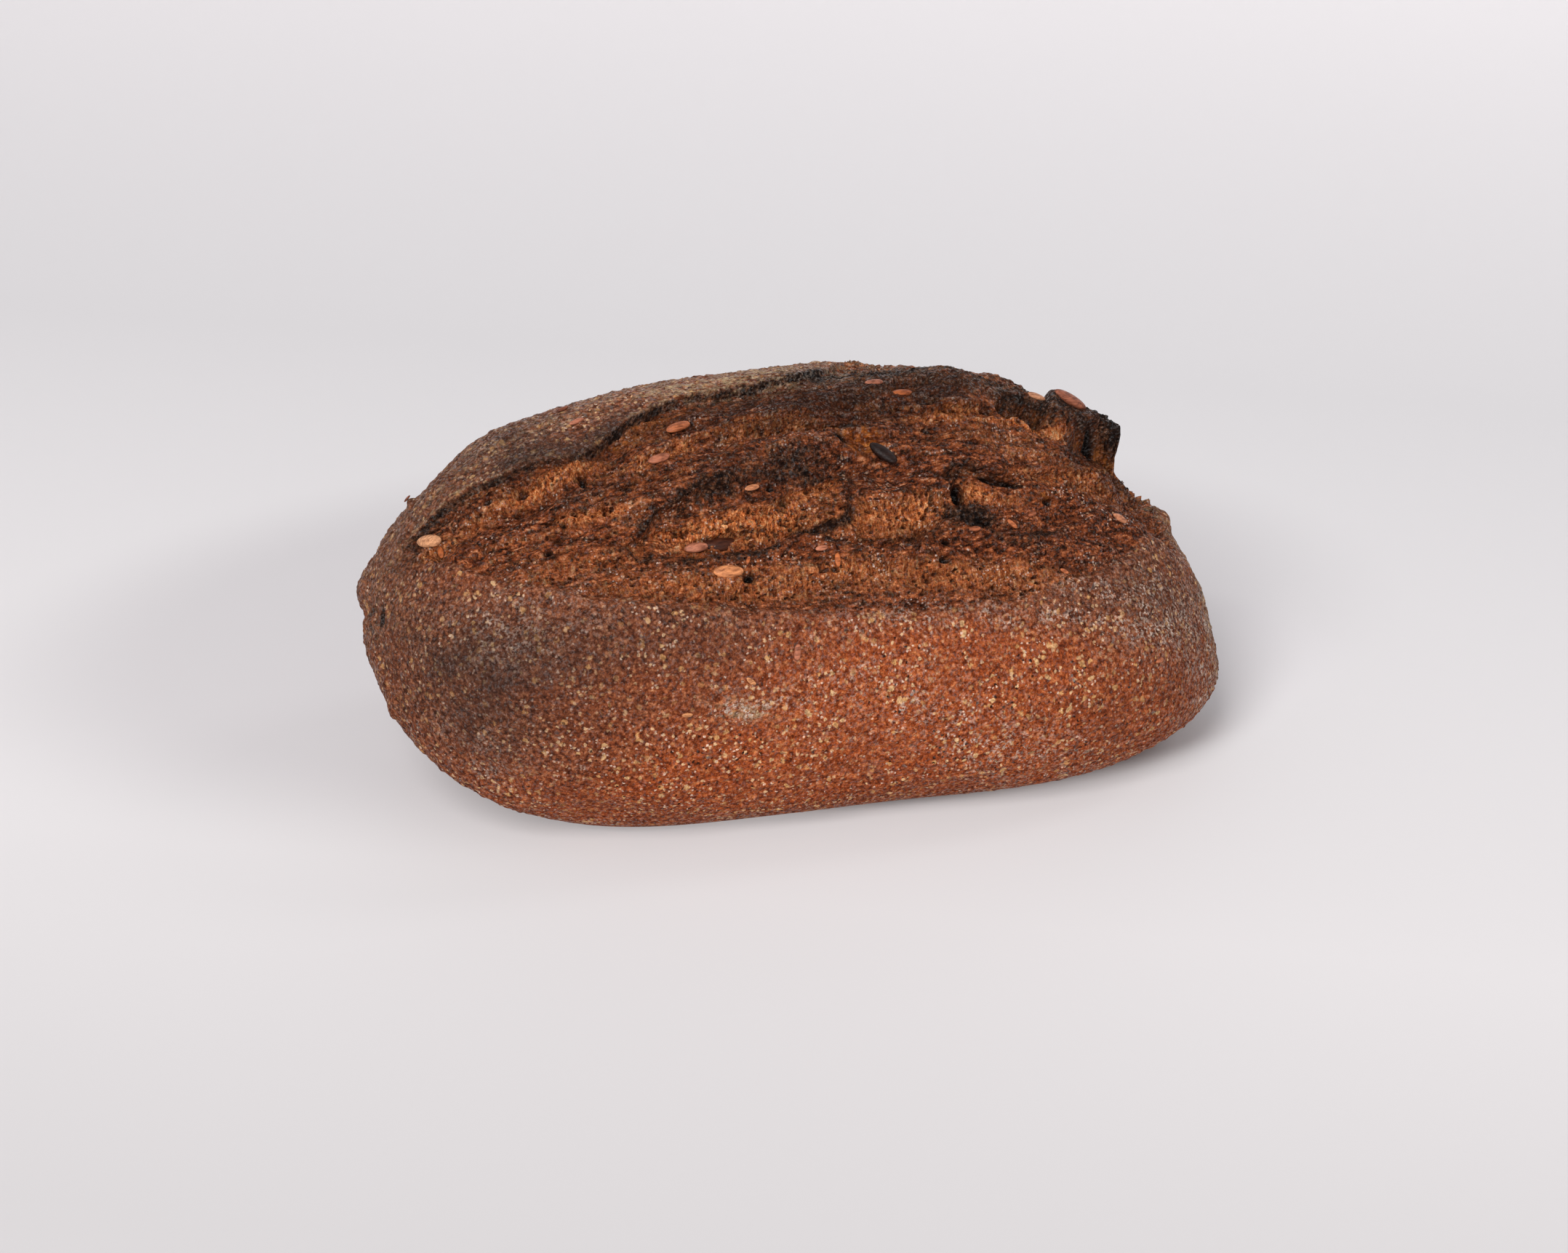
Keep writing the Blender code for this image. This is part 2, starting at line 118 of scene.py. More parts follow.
# The opening: where it starts and stops along the loaf, and how soft its two edges are
OPENING_SPAN = (-98, -92, 86, 93)
LIP_SOFTNESS = (-1, 2)
EAR_SOFTNESS = (-0.8, 0.8)
SCORE_DEPTH = 1.1

# Each torn edge: half width of its step, and how far the relief fades away from it
EAR_STEP = 0.30
EAR_RAGGEDNESS = 0.45
EAR_FADE = 12.0
UNDERCUT_FADE = 3.4
EAR_LEAN = (1.1, 0.9, 1.6)
EAR_CHAR_SPAN = (-76, -66, -48, -36)
EAR_LINE_SPAN = (-70, -50, 5, 25)
EAR_TUCK = (0.5, -2, 2)
EAR_SKIN_SPAN = (-66, -48, 8, 20)
TERRACE_STEP = 1.1
TERRACE_FADE = 8.0
VALLEY_FADE = 6.0
CREST_REACH = (3.4, 9)
STREAK_SPAN = (-46, -36, 50, 58)
STREAK_RISE = 0.8
STREAK_STEP = 0.8
STREAK_FADE = 8.0
BAND_SPAN = (-95, -86, -52, -44)
BAND = (2.2, 1.5, 4.5)

# The flap: the torn, lifted right end of the upper layer
FLAP_START = (58, 67)
FLAP_RIGHT = 76.3
FLAP_OVERHANG = 2.0
FLAP_OVERHANG_RISE = (-1, 4)
FLAP_BREAK = 1.3
FLAP_TUCK = 2.6
FLAP_TUCK_SPAN = (0, 0.25, 0.35, 0.9)
FLAP_RIM = (-1.2, 2.4)
FLAP_SPAN = (53.5, 57.5, 79, 82)
FLAP_WALL_SKIN = (0.45, 0.75)
FLAP_SKIN = (0.2, 0.9, 8, 12)
FLAP_AMBER_SPAN = (60, 64, 79, 82)
FLAP_BACK = (178, 208)
FLAP_SLANT = 0.3
FLAP_LEAN = (3.4, 3, 3)
FLAP_HOLLOW = (5, -1.6, 2.4)
FLAP_WALL_DROP = 4.6
FLAP_WALL = (-13, -3)
TORN_DROP = 6.2
TORN_SPAN = (66, 74, 82, 90)
TORN_ANGLES = (138, 152, 196, 222)
ABOVE_FOOT = (0.2, 9)

# Colour along the torn edges: amount, distance from the edge, half width
EAR_BLACK_LINE = (0.85, -0.05, 0.3)
# Painted shade under the ear's undercut, laid in with the charring
EAR_SHADE = (0.06, -1.5, 1.2)
EAR_BACK_CHAR = (0.22, 1.6, 1.8)
EAR_LINE_CHAR = (0.35, 0.2, 0.7)
EAR_BACK_DIM = (0.6, 2, 2.6)
EAR_LINE_DIM = (0.2, 0.5, 1)
# Painted shade further down under the ear's undercut, laid in with the scorching
EAR_FOOT_SHADE = (0.12, -4, 3.5)
PALE_LIP = (0.5, 0.9, 0.5)
TERRACE_CHAR = (0.75, -0.9, 1.5)
FLAP_RIM_AMBER = (0.8, -0.7, 1)

# How much the torn places add to the char, specks and brightness, or take away
RIM_CHAR = 0.75
EAR_SKIN = (-0.3, 0.7)
SKIN_CLEAR = 0.85
LEDGE_CLEAR = 0.6
WALL_CLEAR = 0.8
AMBER_CLEAR = 0.85
CREST_SPECKS = 0.25
LAYER_BRIGHTNESS = 0.35
WALL_BRIGHTNESS = 0.5
CHAR_LIMIT = 1.6
SCORCH_LIMIT = 0.8

# Swellings and hollows: x, angle, half length along x, half width round the loaf, height, and for a
# hollow how much painted shade it gets inside
SWELLINGS = [
    (-70, 195, 12, 8, 2.2), (-86, 217, 10, 13, -2), (-85, 187, 6, 6, 1.1), (97, 96, 10, 34, -1.3),
    (-62, 43, 26, 10, -1.8), (-46, 187, 11, 7, 0.5), (10, 186, 11, 8, -1.1), (33, 186, 5, 7, -0.5),
    (42, 188, 22, 12, 0.8), (-90, 43, 8, 8, 1.6), (-78, 38, 12, 9, 1), (25, 133.4, 3, 2.6, 2.6),
    (30, 135, 2.6, 1.8, 1.6), (-55.5, 131.7, 2.2, 1.6, 1), (-30, 158, 16, 5, 0.8), (47, 186, 6, 9, -0.1),
    (83, 166, 2.6, 4, 0.3), (89, 160, 4, 8, -2.2), (-88.1, 203, 1.1, 1.1, 1.9), (30, 38, 40, 8, 1.4),
    (64, 100, 18, 16, 0.8), (-60, 244, 26, 20, 1.4), (38, 236, 24, 18, 1.2), (4, 262, 18, 15, -1),
    (-95, 155, 6, 14, -1.4),
]
HOLLOWS = [
    (6.6, 151.8, 4.6, 3.2, 3.2, 0), (2.8, 152.4, 1.6, 1.9, 0.8, 1.4), (5.4, 155.8, 4, 0.7, 0.8, 0.9),
    (22.6, 169.4, 3.4, 2.2, 2.4, 0.4), (26.4, 139.6, 1.5, 2.3, 5, 1.6), (37.5, 142.2, 4.6, 1, 1.8, 0.7),
    (33.4, 142.6, 1.8, 0.8, 1.4, 0.9), (39.6, 141.8, 1.6, 1, 1.2, 0.9),
    (-30.4, 132.8, 5.4, 0.9, 1.6, 0.8), (1.5, 136.5, 1.6, 5, 2, 0.3), (-56.8, 154.4, 0.9, 2.6, 2.4, 1.1),
    (52, 164, 5.2, 2.6, 1.6, 0.4), (50, 169.6, 6.5, 0.7, 0.4, 0.9), (61.5, 158, 2.6, 2.4, 3.4, 1.2),
    (-89.7, 154.5, 1.2, 2.2, 2.2, 0.7), (-66.6, 144.4, 2, 0.7, 1.4, 0.9),
    (-63.8, 142.6, 0.7, 0.7, 1.4, 1.1), (-26.9, 122, 1.6, 1.1, 2.4, 1.2), (-68.5, 136.3, 1, 0.8, 1.2, 1),
    (19.8, 128.6, 1.3, 0.7, 2, 1.3), (18.3, 124.6, 1.5, 0.8, 1.8, 1.2), (68.4, 165.6, 1.8, 1.5, 2, 1.7),
    (-72, 136, 1, 0.6, 1, 0.6), (-77, 159.3, 1, 0.8, 1.4, 0.9), (-70, 158, 1.4, 1.2, 1.8, 0.9),
    (40.7, 162.6, 1.2, 1, 2.4, 1.3), (-48, 148, 1.8, 0.8, 1.2, 0.8), (33, 150.5, 2.2, 0.9, 1.4, 0.9),
    (48, 139.5, 1.6, 0.7, 1.6, 1), (12, 142, 5, 3, 1, 0), (-45, 134, 6, 3, 1.2, 0),
    (-17, 142.2, 0.9, 0.8, 1.4, 1.3), (-14, 139.5, 1.4, 0.7, 1.2, 0.9), (-36, 146.5, 1.6, 0.6, 1.2, 0.8),
    (24, 155, 1.5, 0.7, 1.4, 0.9),
]
HOLLOW_SHARPNESS = 1.8
PATCH_SHARPNESS = 1.4
SPOT_RAGGEDNESS = 0.6

# The left end's folded skin and the torn right corner: x, y, z, radius, height, and how dark, which in
# the grooves and dents is painted shade
END_FOLDS = [
    (-97.2, 19, 38.1, 2.6, -2.4, 0.3), (-98.7, 14.5, 39.7, 2.6, -2.4, 0.3),
    (-100.2, 9, 41.9, 2.6, -2.4, 0.4), (-101.2, 3.5, 44.3, 2.2, -1.8, 0.5),
    (-101.5, -1.5, 46.5, 1.8, -1.5, 0.7), (-101.2, -5.8, 49.8, 1.3, -1, 1), (-98.6, 13, 46.1, 5, 1.4, 0),
    (-100.4, 6, 49.1, 4, 1.1, 0), (-97, 19, 36, 3, 0.5, 0), (-101.8, -4.6, 46.3, 1.9, -0.7, 1.6),
    (-101.8, -4.9, 44.2, 1.9, -0.7, 1.6), (-101, -11.6, 50, 1.4, -0.7, 1.6),
    (-101, -12, 47.9, 1.4, -0.7, 1.6), (-101.2, 1.6, 36, 1.4, -0.9, 0.9),
    (-101.9, -3.5, 40.5, 1.4, -0.8, 0.6), (-101.3, -8.2, 46.6, 1.3, 1.2, 0),
    (-101.6, -9.8, 43.6, 1.3, 1.2, 0), (-101.5, -11.2, 40.6, 1.3, 1.2, 0),
    (-101.1, -13, 37.6, 1.3, 1.1, 0), (-100.4, -15.2, 34.6, 1.3, 1.1, 0), (-99.2, -18, 31.6, 1.3, 1, 0),
    (-101.9, -7, 41.5, 1.1, -0.9, 0.5), (-101.5, -9.6, 37.6, 1.1, -0.9, 0.5),
    (-100.8, -11.8, 34.2, 1.2, -0.9, 0.5), (-98.4, -14.8, 28.4, 2.2, 1.4, 0.2),
    (-96.8, -19, 24.8, 1.6, -1.1, 0.8), (-95.2, -24, 22, 1.2, 0.9, 0), (91.2, -5.4, 46.8, 2.6, 2.2, 0),
    (90.4, -1, 48, 2.4, 1.6, 0), (84.5, -3, 54.2, 2.6, -1.5, 0.2),
]

# Random unevenness: size along the loaf, size across it, height
CRUST_LUMPS = (26, 22, 1.4)
CRUMB_LUMPS = (15, 5.5, 2.1)
BLOTCHES = (9, 7, 0.6)
ORANGE_BLOTCHES = 0.5

# Rows of the fine net between the lines that run along the loaf
EDGE_BAND = 2.4
ROW_GAP = 0.02
ROWS = (6, 150, 56, 30, 96, 34, 40, 34, 54, 84, 6)
COLUMNS = 560
FOOT_ANGLE = 24.0
BACK_ANGLE = 216.0
END_CROWDING = 0.7
END_LIMIT = 0.994 * LENGTH / 2

# Half steps in millimetres and degrees that find the surface's directions, and the shortest length
X_PROBE = 0.5
ANGLE_PROBE = 1.0
SHORTEST = 1e-9

# Fine relief in millimetres: sizes along x and across, height
EDGE_RAGS = ((4.5, 3.5, 1.2), (1.5, 1.5, 0.45))
CRUST_WRINKLES = (2.4, 2, 0.24)
CRUST_GRAINS = (0.95, 0.95, 0.2)
CRUST_BLISTERS = (2.3, 2.3, 0.3)
BLISTER_START = (0.15, 0.55)
CRUMB_RIDGES = (9, 2.4, 0.65)
CRUMB_CRAGS = (3.4, 1.6, 0.6)
CRUMB_GRAINS = (1.1, 0.75, 0.32)
CRUMB_PORES = (2, 1.4, 1.1)
PORE_SIZES = (0.08, 0.24, 0.2)
CRUMB_OPENNESS = (6, 4, 0.8)
OPENNESS_LIMITS = (-0.6, 1)
WALL_FIBRES = (0.9, 4, 0.7)
OLD_CRUMB_CALM = 0.62

# Torn layers of the crumb: how far apart, how high, their steep share, and how they wander
LAYER_GAP = 4.6
LAYER_HEIGHT = 1.0
LAYER_FACE = 0.2
LAYER_WANDER = (22, 9, 1.1)
LAYER_RAGGEDNESS = 0.4
LAYER_SHOWN = (12, 6, 1.4)
LAYER_SHARE = 0.6
LAYER_SPAN = (-3, 3)
LAYER_CREST = 0.07

# How much calmer the fine relief is in a hole of this depth, where amber, and on the flap's end wall
HOLE_CALM = 0.75
HOLE_CALM_DEPTH = 1.6
AMBER_CALM = 0.8
WALL_CALM = 0.75

# Short torn ledges: (x, angle) along the edge of each, rise of the edge, depth and width of the
# torn face in front of it, and how bright that face and how dark that edge is
LEDGES = [
    ([(-53, 132.5), (-50.7, 133.6), (-47, 136.5), (-44.4, 139), (-38.8, 140.4), (-31.6, 142.4),
      (-24, 143.2)], 1.3, 1.2, 3, 0.1, 0.45),
    ([(-47, 136.6), (-37, 136), (-28, 137.8), (-21.8, 137.6), (-13.7, 140.2), (-7, 143), (0, 143.8)],
     0.5, 1.1, 4.2, 1, 0.3),
    ([(-46, 152), (-39.7, 153.8), (-35.9, 155.2), (-29, 156.4)], 0.4, 1.1, 2.2, 0.8, 0.3),
    ([(-21, 159.4), (-14.2, 159.6), (-8.7, 159.2), (-1, 160.4), (6, 161.6)], 0.4, 1, 1.4, 0.55, 0.2),
    ([(-25, 155.8), (-17.8, 156.6), (-12.7, 156.2), (-8.1, 157), (-2.5, 156.4), (5, 155.6)],
     0.4, 1, 1.4, 0.7, 0.2),
    ([(5, 163.6), (9.2, 164.2), (13.2, 164.8), (17, 165.2)], 0.3, 0.9, 1.4, 0.8, 0.1),
    ([(23, 159), (26.7, 160), (31, 161), (36.4, 161.6), (43, 163.6)], 0.5, 1.6, 2, 0.85, 0.4),
    ([(43, 164.8), (46, 166.8), (51, 168), (55, 167.2), (58.5, 164.6)], 0.6, 4.2, 6.8, 0.3, 0.7),
    ([(37, 145), (41.6, 145.8), (49.4, 146.4), (57, 148.2), (64, 150)], 0.6, 1, 2, 0.55, 0.2),
    ([(-67, 145.4), (-61.4, 144.8), (-56, 143.8), (-49, 142.2)], 0.5, 1.2, 2.6, 0.75, 0.5),
    ([(22, 143.6), (28, 144.4), (33, 143.6), (41, 143.8)], 0.9, 1.8, 1.5, 0.1, 0.35),
]
# Each ledge: half width of its step, taper at its ends, fade behind it, the depths that get painted
# shade, where its dark line and its painted shade are, and how dark that shade is
LEDGE_STEP = 0.4
LEDGE_TAPER = 2.5
LEDGE_FADE = 5.0
SHADED_DEPTH = (1, 2.6)
LEDGE_LINE = (0.7, 0.7)
LEDGE_SHADE = (1, -0.7, 0.9)
LEDGE_SHADE_AMOUNT = 0.8

# Ragged tufts at the torn right end: where along x, size along and across, height, and the lowest
TUFT_SPAN = (75, 79, 88, 94)
TUFTS = (2.6, 2, 1.7)
TUFT_FLOOR = -0.3

# Patches of colour: x, angle, half length along x, half width round the loaf, amount
SCORCH_PATCHES = [
    (22, 171, 36, 8, 0.66), (-14, 163, 44, 4.5, 0.42), (-64, 170, 12, 5, 0.45), (-45, 150, 24, 5, 0.22),
    (-8, 145, 26, 4, 0.36), (24, 153, 30, 5, 0.12), (63, 168, 7, 8, 0.55), (74, 166, 5, 8, 0.35),
    (62, 150, 14, 6, 0.2), (-75, 150, 14, 4, 0.15), (-70, 185, 16, 9, 0.45), (3, 163.5, 28, 6, 0.42),
    (58, 92, 30, 24, 0.12), (4, 104, 30, 12, 0.1), (70, 167.5, 8, 4, 0.6), (-5, 157, 24, 4, 0.5),
    (-80, 112, 12, 9, 0.34), (-86, 78, 9, 14, 0.45), (-76, 96, 18, 18, 0.26), (-56, 108, 20, 9, 0.3),
    (-92, 108, 8, 16, 0.12), (-62, 74, 12, 12, 0.12), (-35, 107, 14, 7, 0.18), (-97, 84, 6, 30, 0.12),
    (-30, 98, 16, 12, 0.06), (70, 122, 16, 7, 0.32), (58, 88, 16, 14, 0.12), (-92, 200, 9, 26, 0.2),
    (80, 104, 12, 10, 0.15), (0, 262, 60, 22, 0.18),
]
CHAR_PATCHES = [
    (-66, 168, 7, 2.6, 0.35), (-54, 167.5, 6, 4, 0.25), (-78, 165, 10, 2.2, 0.2), (-88, 168, 6, 3, 0.25),
    (-46, 138.5, 7, 2.2, 0.5), (-37, 141.5, 8, 2.8, 0.52), (-27, 143.5, 8, 2.4, 0.5),
    (-17, 146, 7, 3, 0.6), (-7, 148.5, 7, 4.4, 0.8), (-2, 143, 4, 3.5, 0.5), (-24, 150, 14, 2.2, 0.35),
    (-26, 141.2, 11, 2, 0.45), (-10, 143.8, 7, 1.8, 0.5), (-36, 139.6, 6, 1.3, 0.3),
    (12, 149, 8, 2.2, 0.35), (27, 134.4, 5.8, 3.2, 2), (27.6, 144.2, 4.6, 1.8, 0.45),
    (36, 143.2, 6, 1.1, 0.25), (24, 142.6, 4, 1.5, 0.6), (-10.5, 133, 4, 1.6, 1.4),
    (-4.5, 134.1, 4, 1.6, 1.4), (0, 136.5, 2, 3, 0.7), (14, 130.6, 7, 1.3, 0.8), (-28, 129, 6, 1.2, 0.6),
    (-52, 150, 12, 3, 0.35), (42, 133, 10, 2, 0.5), (46, 148, 12, 5, 0.15), (20, 172, 28, 7, 0.45),
    (50, 176, 16, 8, 0.6), (70, 180, 9, 8, 0.6), (-20, 167, 16, 3, 0.35), (10, 180, 22, 5, 0.5),
    (24, 185, 20, 6, 0.8), (-95, 166, 4, 8, 0.3), (-40, 126, 8, 2.4, 0.25), (0, 163, 26, 5, 0.3),
    (-40, 158, 14, 3, 0.25), (34, 154, 12, 3, 0.25), (56, 152, 12, 6, 0.2), (-66, 150, 12, 2.5, 0.3),
    (2, 141, 2.4, 3, 0.4), (4, 129.8, 5, 1, 0.5),
]
BRIGHT_PATCHES = [
    (-20, 134.6, 15, 3.6, 1), (-33, 134.4, 7, 2.8, 0.7), (9, 134, 10, 4.4, 0.75), (19, 136, 5, 3.5, 0.6),
    (-60, 157.6, 8, 2.6, 1), (-71, 156.6, 7, 2, 0.75), (-84, 156, 6, 2.2, 0.4),
    (-58, 142.6, 9, 1.6, 0.65), (-42, 165, 9, 2.2, 0.5), (-46, 153, 8, 1.6, 0.5),
    (6.8, 150.6, 3.6, 1.8, 1.6), (-90, 156, 4, 4, 0.7), (30, 158, 12, 1.1, 0.6),
    (51, 159.2, 6.5, 1, 1.5), (-16, 157, 16, 1, 0.6), (16, 162, 9, 1, 0.5), (35, 138.5, 6, 1.8, 0.7),
    (30, 139.5, 3, 2, 0.7), (48, 150, 10, 2, 0.45), (53, 165, 6, 1.8, 0.5), (-20, 121, 30, 3.8, 0.52),
    (28, 121.5, 22, 3.8, 0.55), (-62, 131, 14, 3, 0.3), (72, 166, 3, 4, 0.7), (59, 159.5, 4, 1.6, 0.5),
    (40, 154, 12, 2, 0.3), (-52, 124, 16, 3, 0.25), (62, 147, 8, 3, 0.35), (75, 168, 2, 6, 0.8),
    (4, 124, 14, 2, 0.3),
]
AMBER_PATCHES = [
    (7.2, 151.9, 4.2, 3.2, 2.4), (-46.5, 162.4, 6, 2, 0.7), (-36, 167.4, 8, 1.8, 0.5),
    (50.6, 164.4, 6.2, 3, 1.2), (22.6, 168.8, 3.4, 2, 0.8), (47, 140, 3, 1.6, 0.5),
    (-57, 159.5, 5, 1.4, 0.3), (34, 160.2, 8, 1.2, 0.4),
]
FLOUR_PATCHES = [
    (-14, 180, 22, 6, 0.56), (-6, 196, 32, 14, 0.52), (94, 132, 5, 20, 0.45), (-66, 188, 18, 12, 0.12),
    (0, 235, 90, 30, 0.35), (72, 200, 16, 14, 0.3), (-33, 88, 5, 2.6, 0.5), (-28, 86, 3, 1.6, 0.4),
]
SPECK_PATCHES = [
    (72, 118, 14, 9, 0.6), (90, 112, 8, 24, 0.45), (56, 121, 12, 2.5, 0.7), (-33, 88, 6, 3, 0.8),
    (30, 112.5, 36, 3, 0.5), (0, 92, 34, 16, 0.22), (22, 78, 12, 9, 0.35), (-76, 120, 16, 8, 0.3),
    (44, 66, 20, 12, 0.28), (6, 88, 4, 3, 0.6), (-3.6, 98.6, 3, 3, 0.6), (-20, 91.5, 3.5, 3, 0.5),
    (-84, 62, 9, 8, 0.25), (86, 90, 12, 16, 0.35), (-20, 190, 60, 14, 0.3),
]
CRUST_ORANGE = [
    (6, 78, 46, 30, 1), (60, 70, 28, 26, 0.8), (-45, 62, 26, 20, 0.8), (-76, 40, 22, 14, 0.6),
    (20, 100, 44, 12, 0.6), (84, 76, 12, 22, 0.3),
]

# Flecks: cells a metre, size and share of the cells, colour from 0 to 255, amount
CRUST_FLECKS = [
    (520, 0.4, 0.24, (222, 166, 106), 0.9), (860, 0.44, 0.24, (234, 190, 144), 0.9),
    (1300, 0.48, 0.12, (246, 214, 190), 0.75), (1000, 0.42, 0.18, (46, 22, 14), 0.9),
    (420, 0.24, 0.05, (136, 128, 122), 0.8), (380, 0.3, 0.2, (232, 184, 130), 0.95),
]
DARK_CRUMB_FLECKS = (900, 0.42, 0.18, (26, 11, 6), 0.8)
# Painted glints on the torn crumb: pale flecks gathered in patches
CRUMB_GLINT_FLECKS = [
    (1100, 0.45, 0.22, (228, 178, 142), 0.7), (1700, 0.48, 0.2, (212, 188, 176), 0.9),
]
# Edges of the flecks: fineness and length of their push for one cell, full core, end of the draw
FLECK_WARP = (1.3, 0.9)
FLECK_CORE = 0.6
FLECK_DRAW_END = 1.02

# Noise of the finishes: cells a metre, detail, roughness
NOISE = {
    "skin": (860, 4, 0.68), "old_crumb": (900, 4, 0.7), "fresh_crumb": (880, 4, 0.7),
    "burnt": (950, 4, 0.68), "burn_edge": (640, 4, 0.7), "honey": (420, 3, 0.6),
    "speckle": (1400, 2, 0.6), "veins": (1500, 4, 0.65), "dust": (820, 4, 0.7),
    "fleck_clusters": (90, 2, 0.6), "crumb_clusters": (170, 3, 0.6),
    "speck_crowds": (300, 3, 0.6), "speck_grains": (1250, 2, 0.6), "shine": (1300, 3, 0.6),
    "grains": (1100, 4, 0.7), "fine_grains": (2400, 3, 0.6),
}
# How some of the noise is stretched
STRETCH = {
    "old_crumb": (0.42, 1, 1), "fresh_crumb": (1.5, 0.6, 0.6), "dust": (0.4, 1, 1),
    "veins": (0.3, 1, 1),
}
# Where some of the noise starts to show, and where it is full
PATCHES = {
    "fleck_clusters": (0.34, 0.6), "crumb_clusters": (0.46, 0.62), "dust": (0.46, 0.56),
    "speck_crowds": (0.36, 0.62), "speck_grains": (0.5, 0.6), "shine": (0.53, 0.6),
}

# Single colours from 0 to 255 with the amount that shows, and tones as (value, red, green, blue)
BLACK = (0, 0, 0)
SCORCHED_CRUST = (58, 42, 36)
SCORCHED_CRUMB = (38, 20, 13)
# Two colours here are painted shade: dark brown in low spots of the relief, near black in holes and under
# ledges
COLOURS = {
    "grain_lines": (84, 38, 20, 0.4), "strands": (236, 164, 104, 1), "soot": (17, 13, 12, 0.7),
    "flour": (192, 164, 126, 1), "specks": (226, 206, 190, 1), "deep": (34, 14, 7, 0.75),
    "hole_and_ledge_shade": (16, 8, 5, 1), "pink": (186, 124, 102, 0.6),
}
TONES = {
    "skin": [(0.36, 106, 44, 19), (0.45, 152, 69, 32), (0.54, 182, 90, 46), (0.64, 212, 128, 78)],
    "dull_skin": [(0.36, 60, 33, 23), (0.45, 104, 58, 38), (0.54, 136, 79, 53), (0.64, 176, 116, 84)],
    "old_crumb": [(0.37, 28, 12, 7), (0.45, 78, 36, 20), (0.53, 122, 60, 33), (0.61, 168, 92, 54),
                  (0.69, 216, 148, 106)],
    "fresh_crumb": [(0.36, 70, 28, 12), (0.44, 146, 69, 31), (0.52, 198, 106, 54), (0.6, 232, 156, 98),
                    (0.68, 250, 210, 164)],
    "burnt": [(0.38, 18, 10, 8), (0.49, 44, 27, 19), (0.58, 80, 52, 37), (0.68, 128, 88, 64)],
    "honey": [(0.38, 76, 32, 11), (0.5, 138, 70, 25), (0.62, 194, 118, 56)],
    "speckle": [(0.37, 150, 134, 122), (0.58, 255, 255, 255)],
    "seed": [(0, 34, 17, 12), (0.5, 132, 66, 36), (0.75, 196, 110, 60), (1, 228, 168, 116)],
    "veins": [(0.36, 128, 108, 98), (0.6, 255, 255, 255)],
}

# Lines between cells: cells a metre and width; pushed places: cells a metre and length in metres
GRAIN_NET = (1000, 0.1)
GRAIN_WARP = (800, 0.001)
STRAND_NET = (820, 0.09)
STRAND_WARP = (900, 0.0012)
BUBBLE_CELLS = 1100.0

# Amounts that grow with another amount: gain, start
LIVELY_BY_ORANGE = (0.25, 0.8)
LIVELY_BY_CLUSTERS = (0.75, 0.3)
STRANDS_BY_BRIGHT = (0.35, 0.06)
BURN_RAGGEDNESS = (2.8, -1.4)
ROUGHNESS_BY_SHINE = (-0.32, 0.62)
SPECULAR_BY_SHINE = (0.55, 0.05)
BUBBLES_BY_TORN = (0.8, 0.1)
FLOOR_GLOW = (0.36, 0.22)

# Where a finish starts and where it is full, and how much of it shows
SOOT_START = (1.15, 1.6)
BURN_START = (0.2, 1.05)
CHAR_START = (0, 0.25)
# Painted shade in the low spots of the fine relief: where it starts and where it is full
LOW_RELIEF_SHADE = (0, -1.1)
AMBER_SHOWN = 0.9
SPECKLE_SHOWN = 0.68
VEINS_SHOWN = 0.85
SEED_ROUGHNESS = 0.42
SEED_SPECULAR = 0.18

# Bumps: height in metres, strength
GRAIN_BUMP = (0.0008, 1)
FINE_BUMP = (0.00025, 0.8)
VEIN_BUMP = (0.0003, 0.8)

# Flax seeds: x, angle, turn on the surface in degrees, length, tone (0 dark, 1 golden), pinkness
SEEDS = [
    (-90.2, 162.2, -46, 7.4, 1, 0.6), (-89.4, 155.6, 84, 3.6, 0.7, 0), (-32.6, 161, 14, 6, 0.66, 0.3),
    (-39.7, 152.1, 10, 5.2, 0.58, 0.7), (-36.2, 131.6, 0, 5.4, 0.62, 1), (-30.2, 132.2, -2, 8.6, 0.1, 0),
    (-31.6, 123.8, -6, 6.8, 0.84, 0.1), (16.7, 171.6, 6, 4.6, 0.55, 0.9), (22.2, 167.4, 0, 5, 0.6, 0),
    (11, 148, -52, 7.4, 0, 0), (-21.4, 141.8, 6, 3.4, 0.85, 0.5), (26.7, 130.9, 0, 2.8, 0.6, 0.3),
    (36.9, 133.1, -50, 2.8, 0.72, 0.2), (-6.6, 124.7, 84, 3.2, 0.72, 0), (-9.2, 127.7, 4, 3, 0.7, 1),
    (66, 139.8, -20, 4.2, 0.85, 0.8), (-30.1, 96, -42, 2.6, 0.9, 0), (-19.3, 103.7, 78, 3.8, 0.6, 0.8),
    (-44.4, 86.8, 0, 2.4, 0.9, 0), (-53, 173, 12, 3.6, 0.6, 0.9), (64, 172.4, -8, 9.2, 0.5, 0.6),
    (55, 172.2, -4, 5, 1, 1), (-88.1, 203, 0, 2, 0.3, 0.2), (-26.7, 125.8, 60, 2, 0.64, 0),
    (-53.8, 186, 12, 3.2, 0.3, 0.3), (43, 136, 20, 2.4, 0.6, 0.4), (47, 124, -30, 2.2, 0.7, 0.3),
    (67, 104, 10, 2.6, 0.75, 0.6),
]
SEED_WIDTH = 0.42
SEED_THICKNESS = 0.27
SEED_SIDES = 20
SEED_RINGS = 18
SEED_LIFT = 0.45
SEED_TIP_POWER = 0.92
SEED_TIP_CHANGE = 0.25
SEED_EDGE_POWER = 0.9
BACK_SEED_COUNT = 6
BACK_SEED_RANGES = ((-70, 70), (200, 265), (-90, 90), (3.6, 5.6))
BACK_SEED_TONES = (0.7, 0.5)
SEED_DRAW = 11

# The camera: where it stands and what it looks at, in the loaf's millimetres
CAMERA_PLACE = (-263.05, -756.55, 352.77)
CAMERA_TARGET = (-2.55, 0, 29.5)
CAMERA_LENS = 85.0

